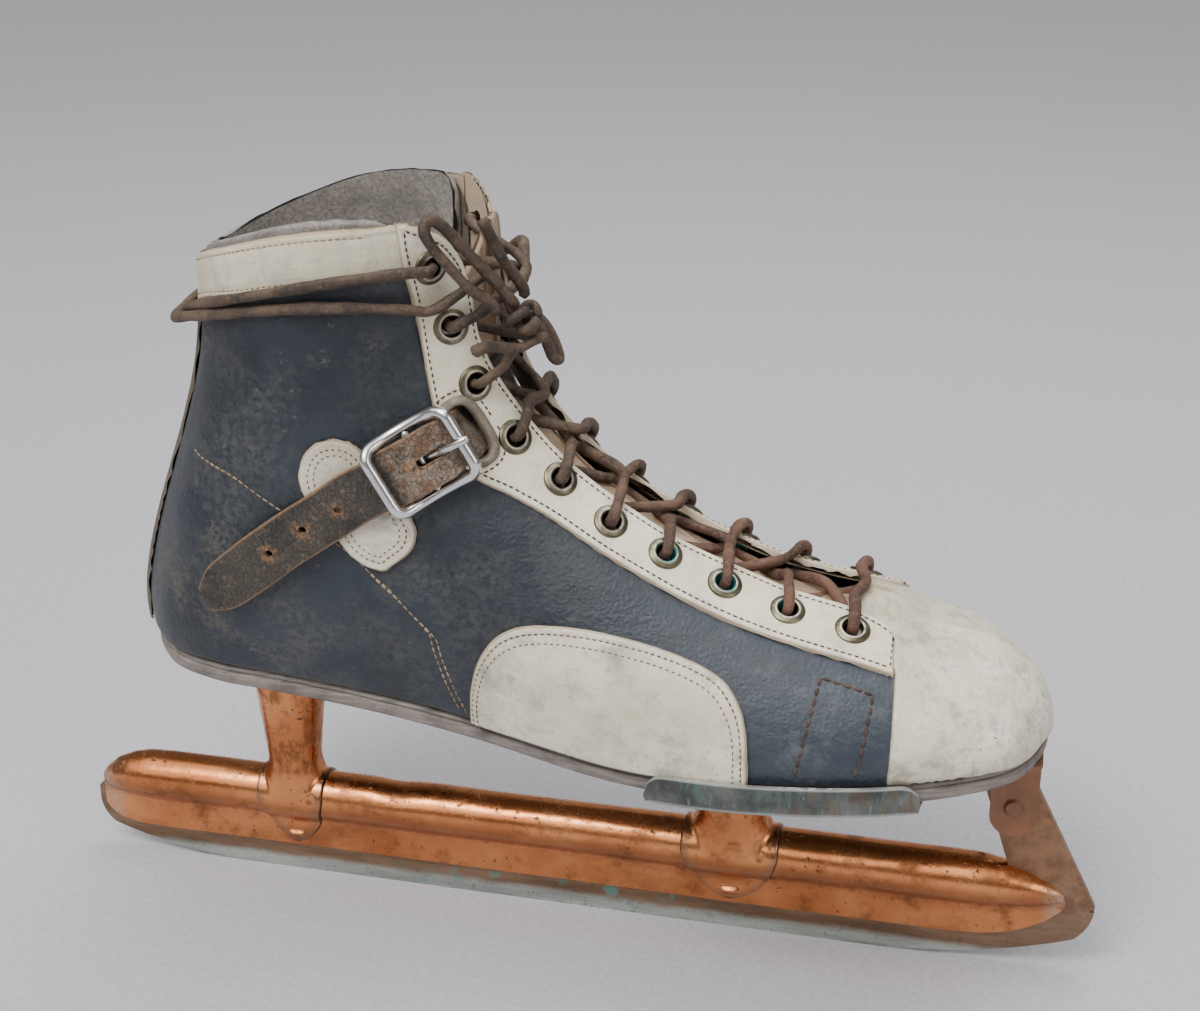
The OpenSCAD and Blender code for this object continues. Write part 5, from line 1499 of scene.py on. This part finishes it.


# %% [markdown]
# ## Leathers
# The dark leather is a navy black. It has gone grey and brown where the raised grain rubs, most of all at
# the heel. Towards the toe it is painted a lighter blue with blue-grey patches, which is painted sheen. The
# pale leather is ivory with grey dirt, yellow stains and tan edges. Colour and relief share the same noises,
# so that a stain also changes the gloss.

# %% Dark leather
def dark_leather():
    f = Finish("dark_leather")
    x, z = f.axis("X"), f.axis("Z")
    broad = f.noise(42, 5, 0.6)
    cloud = f.noise(17, 6, 0.68, shift=9)
    fine = f.noise(2.2, 5, 0.7, shift=4)
    grain = f.cells(1.15)
    base = broad.step(0.32, 0.7).mix((0.009, 0.013, 0.02), (0.023, 0.032, 0.046))
    # Lighter blue towards the toe: a painted sheen.
    base = (x.step(-25, 70) * 0.75).mix(base, (0.034, 0.048, 0.067))
    heel = (0 - x).step(30, 110) * (1 - z.step(125, 190))
    rub = cloud.step(0.42, 0.66) * fine.step(0.4, 0.6)
    base = (rub * (0.22 + 0.5 * heel)).mix(base, (0.14, 0.125, 0.1))
    shaft = f.noise(30, 5, 0.65, shift=21).step(0.42, 0.64) * fine.step(0.36, 0.64) * (1 - x.step(-20, 30))
    base = (shaft * 0.5).mix(base, (0.085, 0.088, 0.086))
    scuff = f.noise(7, 7, 0.78, stretch=(2, 2, 1), shift=13).step(0.58, 0.68) * fine.step(0.45, 0.6)
    base = (scuff * 0.35).mix(base, (0.19, 0.18, 0.16))
    # Blue-grey patches towards the toe: painted sheen.
    haze_and_painted_sheen = f.noise(13, 6, 0.7, shift=31).step(0.44, 0.68) * fine.step(0.3, 0.6) * x.step(10, 80)
    base = (haze_and_painted_sheen * 0.6).mix(base, (0.1, 0.115, 0.13))
    edge = 1 - f.attribute("edge").step(0.3, 1.3)
    base = (edge * 0.7).mix(base, (0.17, 0.13, 0.09))
    wrinkle = f.noise(5, 5, 0.6, stretch=(2.4, 1, 0.8), shift=3)
    rough = 0.38 + 0.3 * rub + 0.16 * fine + 0.1 * shaft
    return f.feed(base_color=base, roughness=rough, height=0.13 * grain + 0.42 * wrinkle + 0.16 * fine)


dress(dark_leather(), "quarter_outer", "quarter_inner", "back_stay")

# %% Pale leather
def pale_leather(name, light, shade, soil, relief_mm, weave=0.0):
    f = Finish(name)
    broad = f.noise(26, 5, 0.6)
    fine = f.noise(2.4, 5, 0.7, shift=4)
    base = broad.step(0.32, 0.68).mix(shade, light)
    yellow = f.noise(20, 4, shift=6).step(0.5, 0.72)
    base = (yellow * 0.35).mix(base, (0.5, 0.42, 0.24))
    dirt = f.noise(11, 7, 0.74, shift=9).step(0.48, 0.7)
    base = (dirt * (0.75 * soil)).mix(base, (0.3, 0.29, 0.25))
    smear = f.noise(6, 6, 0.7, stretch=(2, 2, 1), shift=15).step(0.52, 0.68)
    base = (smear * (0.5 * soil)).mix(base, (0.42, 0.39, 0.31))
    speck = f.noise(1.3, 3, 0.6, shift=2).step(0.62, 0.72) * broad.step(0.35, 0.65)
    base = (speck * soil).mix(base, (0.14, 0.12, 0.1))
    crack = 1 - f.cells(5.5, feature="DISTANCE_TO_EDGE", shift=3).step(0.0, 0.03)
    crack = crack * f.noise(11, 3, shift=12).step(0.52, 0.66)
    base = (crack * 0.2).mix(base, (0.24, 0.2, 0.15))
    if name == "cap_leather":
        mottle = f.noise(5, 7, 0.74, shift=19).step(0.5, 0.64) * broad.step(0.36, 0.56)
        base = (mottle * 0.6).mix(base, (0.41, 0.4, 0.3))
        throat = (1 - f.axis("X").step(92, 120)) * f.axis("Z").step(88, 112)
        base = (throat * (0.3 + 0.6 * dirt)).mix(base, (0.4, 0.31, 0.18))
        foot = (1 - f.axis("Z").step(80, 96)) * (0.35 + 0.5 * smear)
        base = foot.mix(base, (0.33, 0.28, 0.2))
    edge = 1 - f.attribute("edge").step(0.25, 1.0)
    base = (edge * 0.75).mix(base, (0.33, 0.23, 0.15))
    rough = 0.42 + 0.22 * dirt + 0.14 * fine
    height = 0.07 * f.cells(0.9) + relief_mm * f.noise(9, 5, 0.6, shift=5) + 0.1 * fine - 0.05 * crack
    if weave:
        across = f.noise(0.7, 2, 0.5, stretch=(7, 7, 1), shift=8)
        upright = f.noise(0.7, 2, 0.5, stretch=(1, 1, 7), shift=18)
        height = height + weave * (across + upright)
    return f.feed(base_color=base, roughness=rough, height=height)


dress(pale_leather("cap_leather", (0.88, 0.845, 0.72), (0.7, 0.655, 0.52), 1.0, 1.3), "toe_cap")
dress(pale_leather("stay_leather", (0.89, 0.845, 0.69), (0.76, 0.7, 0.53), 0.45, 0.4),
      "eyestay_outer", "eyestay_inner")
dress(pale_leather("tongue_leather", (0.56, 0.4, 0.28), (0.33, 0.22, 0.15), 0.5, 0.35), "tongue")
dress(pale_leather("patch_leather", (0.83, 0.785, 0.65), (0.63, 0.58, 0.46), 1.0, 0.6),
      "side_patch_outer", "side_patch_inner", "ankle_patch_outer", "ankle_patch_inner")
dress(pale_leather("collar_leather", (0.78, 0.735, 0.57), (0.6, 0.55, 0.41), 0.6, 0.3, 0.14), "collar_band")
dress(pale_leather("raw_leather", (0.22, 0.18, 0.135), (0.11, 0.088, 0.068), 1.0, 0.5, 0.25),
      "slot_rim_outer", "slot_rim_inner")

# %% [markdown]
# ## Laces, strap, thread and lining
# The laces are cut leather, rusty near the toe and grey higher up. The strap was dark and has worn through to
# orange leather inside the buckle, along its edges and round its holes. The lining is a felted cloth.

# %% Lace leather
def lace_leather():
    f = Finish("lace_leather")
    along = f.attribute("along")
    broad = f.noise(14, 5, 0.6)
    fibre = f.noise(1.1, 4, 0.7, shift=3)
    low = f.axis("X").step(-15, 60)
    grey = broad.step(0.3, 0.7).mix((0.036, 0.023, 0.016), (0.115, 0.076, 0.05))
    rust = broad.step(0.3, 0.7).mix((0.062, 0.028, 0.018), (0.17, 0.082, 0.052))
    base = low.mix(grey, rust)
    base = (fibre.step(0.48, 0.7) * 0.5).mix(base, (0.21, 0.15, 0.11))
    dark = f.noise(4, 4, 0.6, shift=8).step(0.52, 0.72)
    base = (dark * 0.65).mix(base, (0.022, 0.014, 0.011))
    ring = f.wire.node("ShaderNodeMath", {"operation": "SINE"}, {0: along * 1.7 + 6 * broad})
    height = 0.45 * fibre + 0.3 * dark + 0.05 * ring
    return f.feed(base_color=base, roughness=0.55 + 0.25 * fibre, height=height)


dress(lace_leather(), "lace", "lace_wrap_outer", "lace_wrap_inner", "lace_knot", *BOW)


# %% Strap leather
def strap_leather():
    f = Finish("strap_leather")
    along = f.attribute("along") - BUCKLE_ALONG
    broad = f.noise(12, 5, 0.6)
    fine = f.noise(1.5, 5, 0.7, shift=4)
    cloud = f.noise(6, 6, 0.7, shift=6)
    base = broad.step(0.3, 0.7).mix((0.022, 0.018, 0.015), (0.062, 0.052, 0.042))
    base = (fine.step(0.48, 0.62) * cloud.step(0.4, 0.6) * 0.6).mix(base, (0.17, 0.135, 0.1))
    inside = along.step(-11, -7) * (1 - along.step(21, 27))
    bare = inside * cloud.step(0.36, 0.56)
    base = (bare * 0.7).mix(base, (0.19, 0.095, 0.048))
    pale = inside * f.noise(8, 6, 0.7, shift=17).step(0.42, 0.56) * fine.step(0.36, 0.5)
    base = (pale * 0.75).mix(base, (0.25, 0.215, 0.18))
    crack = 1 - f.cells(1.6, feature="DISTANCE_TO_EDGE").step(0.0, 0.09)
    base = (crack * 0.3).mix(base, (0.014, 0.011, 0.009))
    split = (1 - f.attribute("hole").step(1.2, 4.2)) * fine.step(0.4, 0.55)
    base = (split * 0.9).mix(base, (0.3, 0.16, 0.075))
    edge = 1 - (f.attribute("edge") + 0.9 * fine).step(0.6, 1.3)
    base = (edge * 0.85).mix(base, (0.26, 0.15, 0.08))
    rough = 0.48 + 0.2 * cloud + 0.14 * fine
    return f.feed(base_color=base, roughness=rough, height=0.3 * fine - 0.25 * crack + 0.25 * cloud)


dress(strap_leather(), "strap", "chape")

# %% Thread, lining and inner leathers
def thread(name, first, second):
    f = Finish(name)
    base = f.noise(6, 3).step(0.35, 0.65).mix(first, second)
    return f.feed(base_color=base, roughness=0.75 + 0.1 * f.noise(1, 2), height=0.05 * f.noise(0.5, 2))


dress(thread("tan_thread", (0.22, 0.15, 0.08), (0.4, 0.3, 0.17)), "thread_tan")
dress(thread("brown_thread", (0.1, 0.062, 0.036), (0.24, 0.16, 0.09)), "thread_brown")
dress(thread("rust_thread", (0.05, 0.028, 0.022), (0.11, 0.058, 0.042)), "thread_rust")


def felt(name, first, second, fibre_size):
    f = Finish(name)
    fibre = f.noise(fibre_size, 6, 0.75)
    base = fibre.step(0.35, 0.65).mix(first, second)
    base = (f.noise(18, 4, shift=5).step(0.45, 0.75) * 0.5).mix(base, tuple(0.5 * c for c in first))
    return f.feed(base_color=base, roughness=0.85 + 0.1 * fibre, height=0.35 * fibre)


dress(felt("lining_felt", (0.17, 0.155, 0.145), (0.33, 0.3, 0.28), 1.2), "lining")
dress(felt("insole_leather", (0.17, 0.1, 0.06), (0.27, 0.18, 0.11), 3), "insole")
dress(felt("cork_filler", (0.2, 0.12, 0.07), (0.34, 0.22, 0.13), 2), "filler")
dress(felt("stiff_board", (0.2, 0.16, 0.12), (0.3, 0.25, 0.19), 2), "toe_puff", "heel_counter")

# %% Sole leather
def sole_leather(name, first, second):
    f = Finish(name)
    layer = f.noise(2.2, 5, 0.7, stretch=(6, 6, 0.5))
    base = layer.step(0.3, 0.7).mix(first, second)
    dirt = f.noise(9, 5, 0.65, shift=7).step(0.45, 0.7)
    base = (dirt * 0.55).mix(base, (0.06, 0.053, 0.048))
    return f.feed(base_color=base, roughness=0.62 + 0.2 * layer, height=0.3 * layer)


dress(sole_leather("outsole_edge", (0.15, 0.128, 0.112), (0.29, 0.255, 0.235)), "outsole")
dress(sole_leather("welt_edge", (0.15, 0.13, 0.112), (0.3, 0.27, 0.245)), "welt")

# %% [markdown]
# ## Metals
# The tube, the posts and the plates are coppered steel, bright where they are handled, tarnished brown in
# patches and browner near the saddles' edges. A darker band along the tube's lower side and a near-black line
# round each saddle are painted shade. The blade is bare steel at its edge, brown above, with green spots. The
# eyelets are old brass.

# %% Copper
def copper():
    f = Finish("copper_plate")
    broad = f.noise(24, 5, 0.62)
    fine = f.noise(2.2, 5, 0.7, shift=4)
    base = broad.step(0.3, 0.7).mix((0.76, 0.31, 0.125), (0.53, 0.19, 0.07))
    tarnish = f.noise(12, 7, 0.7, shift=8).step(0.5, 0.7)
    base = (tarnish * 0.8).mix(base, (0.19, 0.075, 0.032))
    brown = f.noise(20, 6, 0.65, stretch=(3, 1, 1), shift=14).step(0.52, 0.68)
    base = (brown * 0.6).mix(base, (0.3, 0.12, 0.05))
    pit = f.noise(2.4, 4, 0.6, shift=11).step(0.62, 0.69) * f.noise(30, 3, shift=2).step(0.38, 0.58)
    base = (pit * 0.85).mix(base, (0.045, 0.028, 0.02))
    z = f.axis("Z") + 3 * f.noise(9, 4, 0.6, shift=16) - 1.5
    # A darker band round the lower middle of the tube, at the fold above the flanges: a painted dark
    # reflection and shade.
    band = z.step(20, 24) * (1 - z.step(27, 31))
    base = (band * 0.5).mix(base, (0.24, 0.095, 0.042))
    high = z.step(37, 44) * f.noise(6, 6, 0.72, stretch=(1, 1, 2), shift=22).step(0.48, 0.6)
    base = (high * 0.5).mix(base, (0.13, 0.07, 0.04))
    rim = f.attribute("edge")
    base = ((1 - rim.step(0.8, 4.5)) * 0.55).mix(base, (0.26, 0.16, 0.11))
    # A near-black line along each saddle's edge: a painted shadow where the saddle steps off the tube.
    outline = 1 - (rim + 0.5 * fine).step(0.4, 1.0)
    base = (outline * 0.92).mix(base, (0.03, 0.018, 0.013))
    end = f.axis("X").step(146, 155) + (0 - f.axis("X")).step(152, 160)
    base = (end * 0.55 * fine.step(0.35, 0.6)).mix(base, (0.5, 0.46, 0.38))
    scratch = f.noise(1.1, 2, 0.5, stretch=(1, 1, 14), shift=6).step(0.66, 0.72)
    rough = 0.19 + 0.2 * tarnish + 0.1 * brown + 0.3 * pit + 0.12 * fine + 0.15 * band + 0.3 * high
    height = 0.35 * f.noise(14, 3, 0.5, shift=9) + 0.05 * fine - 0.14 * pit - 0.04 * scratch
    return f.feed(base_color=base, metallic=1 - 0.5 * pit, roughness=rough, height=height)


dress(copper(), "runner_tube", "front_post", "rear_post", "heel_plate")

# %% Blade steel
def blade_steel():
    f = Finish("blade_steel")
    x = f.axis("X")
    z = f.axis("Z") + 3 * f.noise(20, 4, 0.6) - 1.5
    streak = f.noise(5, 5, 0.65, stretch=(8, 1, 1))
    speck = f.noise(1.6, 4, 0.65, shift=9)
    base = streak.step(0.3, 0.7).mix((0.16, 0.095, 0.058), (0.29, 0.19, 0.125))
    copper_tint = x.step(112, 128) * f.axis("Z").step(14, 30)
    arm = f.noise(10, 7, 0.72, shift=12)
    base = (copper_tint * 0.92).mix(base, arm.step(0.36, 0.64).mix((0.19, 0.1, 0.058), (0.33, 0.18, 0.105)))
    worn = x.step(148, 162) * arm.step(0.45, 0.58) * speck.step(0.46, 0.6)
    base = (worn * 0.5).mix(base, (0.27, 0.28, 0.24))
    bare = 1 - z.step(3, 6)
    base = bare.mix(base, streak.step(0.35, 0.65).mix((0.3, 0.33, 0.31), (0.5, 0.53, 0.5)))
    base = (speck.step(0.58, 0.68) * 0.5).mix(base, (0.1, 0.075, 0.055))
    green = f.noise(9, 6, 0.7, shift=5).step(0.52, 0.62) * (1 - x.step(20, 70)) * x.step(-70, -20)
    base = (green * 0.75).mix(base, (0.07, 0.23, 0.2))
    rough = 0.4 + 0.2 * streak + 0.3 * green
    height = 0.12 * streak + 0.08 * speck
    return f.feed(base_color=base, metallic=0.8 - 0.5 * green, roughness=rough, height=height)


dress(blade_steel(), "runner_blade")


# %% Plate steel
def plate_steel():
    f = Finish("plate_steel")
    x = f.axis("X")
    streak = f.noise(2.2, 5, 0.6, stretch=(1, 1, 9))
    broad = f.noise(14, 5, 0.6, shift=3)
    base = broad.step(0.35, 0.65).mix((0.075, 0.085, 0.08), (0.18, 0.195, 0.182))
    green = f.noise(18, 4, 0.6, shift=7).step(0.48, 0.62) * streak.step(0.4, 0.62)
    base = (green * 0.7).mix(base, (0.1, 0.24, 0.22))
    rust = streak.step(0.42, 0.6) * (0.12 + 0.6 * x.step(60, 100))
    base = (rust * 0.85).mix(base, (0.16, 0.088, 0.045))
    pale = f.noise(1.2, 3, 0.6, stretch=(1, 1, 14), shift=19).step(0.6, 0.7)
    base = (pale * 0.45).mix(base, (0.36, 0.38, 0.36))
    coppered = broad.step(0.35, 0.65).mix((0.33, 0.155, 0.085), (0.23, 0.11, 0.062))
    base = (x.step(114, 120) * 0.9).mix(base, coppered)
    rise = f.attribute("rise")
    bright = rise.step(0.9, 0.99) + 0.5 * rise.step(0.001, 0.01) * (1 - rise.step(0.03, 0.12))
    base = (bright * 0.8).mix(base, (0.6, 0.62, 0.6))
    rough = 0.36 + 0.25 * green + 0.1 * streak
    height = 0.15 * broad + 0.1 * streak
    return f.feed(base_color=base, metallic=0.85 - 0.4 * green, roughness=rough, height=height)


dress(plate_steel(), "front_sole_plate", "plate_side_outer", "plate_side_inner",
      "front_rivets", "heel_rivets", "toe_tab_rivet", "shank")

# %% Eyelet brass
def eyelet_brass():
    f = Finish("eyelet_brass")
    fine = f.noise(1.6, 4, 0.6)
    depth = f.attribute("depth")
    base = f.noise(5, 4, shift=3).step(0.35, 0.65).mix((0.12, 0.108, 0.07), (0.25, 0.228, 0.155))
    base = (depth.step(0.85, 1.0) * 0.65).mix(base, (0.55, 0.535, 0.46))
    base = (fine.step(0.52, 0.66) * 0.6).mix(base, (0.09, 0.07, 0.045))
    # Near black inside the barrel: painted shade in the bore.
    base = (1 - depth.step(-1.2, 0.2)).mix(base, (0.02, 0.016, 0.012))
    x = f.axis("X")
    green = x.step(28, 36) * (1 - x.step(66, 72)) * f.noise(3, 4, shift=8).step(0.4, 0.55)
    green = green * f.attribute("inside")
    base = (green * 0.9).mix(base, (0.02, 0.3, 0.29))
    return f.feed(base_color=base, metallic=1 - 0.8 * green, roughness=0.26 + 0.25 * fine, height=0.06 * fine)


dress(eyelet_brass(), "eyelets_outer", "eyelets_inner")


# %% Nickel
def nickel():
    f = Finish("nickel")
    # In the nickel this noise only varies the tone and the gloss.
    haze_and_painted_sheen = f.noise(6, 5, 0.6)
    base = haze_and_painted_sheen.step(0.35, 0.7).mix((0.78, 0.79, 0.8), (0.6, 0.6, 0.6))
    spot = f.noise(1.4, 4, 0.6, shift=5).step(0.64, 0.72)
    base = (spot * 0.5).mix(base, (0.2, 0.17, 0.14))
    return f.feed(base_color=base, metallic=1.0, roughness=0.14 + 0.18 * haze_and_painted_sheen, height=0.05 * haze_and_painted_sheen)


dress(nickel(), "buckle_frame", "buckle_prong")
print("finishes", len(bpy.data.materials))

# %% [markdown]
# ## Floor and light
# A plain pale floor under a broad soft sun stays even to the edge of the picture. The sky is dim, so that
# the copper mirrors a bright floor below, a dark band in its middle and the panels above as one highlight.
# A large panel far behind gives the top of the tube its pale edge. Close by, it would draw a line of light
# on the floor.

# %% Floor and sky
FLOOR_HALF = 12
corners = [(x * FLOOR_HALF, y * FLOOR_HALF, 0) for x, y in ((-1, -1), (1, -1), (1, 1), (-1, 1))]
floor_mesh = bpy.data.meshes.new("floor")
floor_mesh.from_pydata(corners, [], [(0, 1, 2, 3)])
floor = bpy.data.objects.new("floor", floor_mesh)
scene.collection.objects.link(floor)
floor_finish = Finish("floor_cloth")
weave = floor_finish.noise(2, 4, 0.6)
floor_mesh.materials.append(floor_finish.feed(
    base_color=weave.step(0.3, 0.7).mix((0.46, 0.462, 0.505), (0.54, 0.542, 0.585)),
    roughness=0.9,
    height=0.1 * weave,
))

world = bpy.data.worlds.new("studio")
scene.world = world
world.use_nodes = True
sky = world.node_tree.nodes["Background"].inputs
sky["Color"].default_value = (0.9, 0.85, 0.8, 1)
sky["Strength"].default_value = 0.23
print("floor", 2 * FLOOR_HALF, "m wide")

# %% Lights
AIM = Vector((0, 0, 0.1))


def aimed_light(name, kind, place, size, power, colour):
    """An area light or a soft sun at a place, turned to the boot; size is its width or its angle."""
    data = bpy.data.lights.new(name, kind)
    if kind == "SUN":
        data.angle = size
    else:
        data.size = size
    data.energy = power
    data.color = colour
    light = bpy.data.objects.new(name, data)
    light.location = place
    light.rotation_euler = (Vector(place) - AIM).to_track_quat("Z", "Y").to_euler()
    scene.collection.objects.link(light)


aimed_light("sun", "SUN", (-0.5, -0.9, 1.6), math.radians(75), 1.95, (1, 0.985, 0.96))
aimed_light("key", "AREA", (-0.35, -0.85, 1.3), 0.6, 14.5, (1, 0.98, 0.95))
aimed_light("overhead", "AREA", (0.15, 0.3, 1.3), 0.8, 10, (1, 1, 1))
aimed_light("back", "AREA", (1, 11, 2.9), 11, 80, (1, 0.95, 0.9))
aimed_light("fill", "AREA", (1.2, -0.7, 0.7), 0.7, 5, (1, 0.97, 0.93))
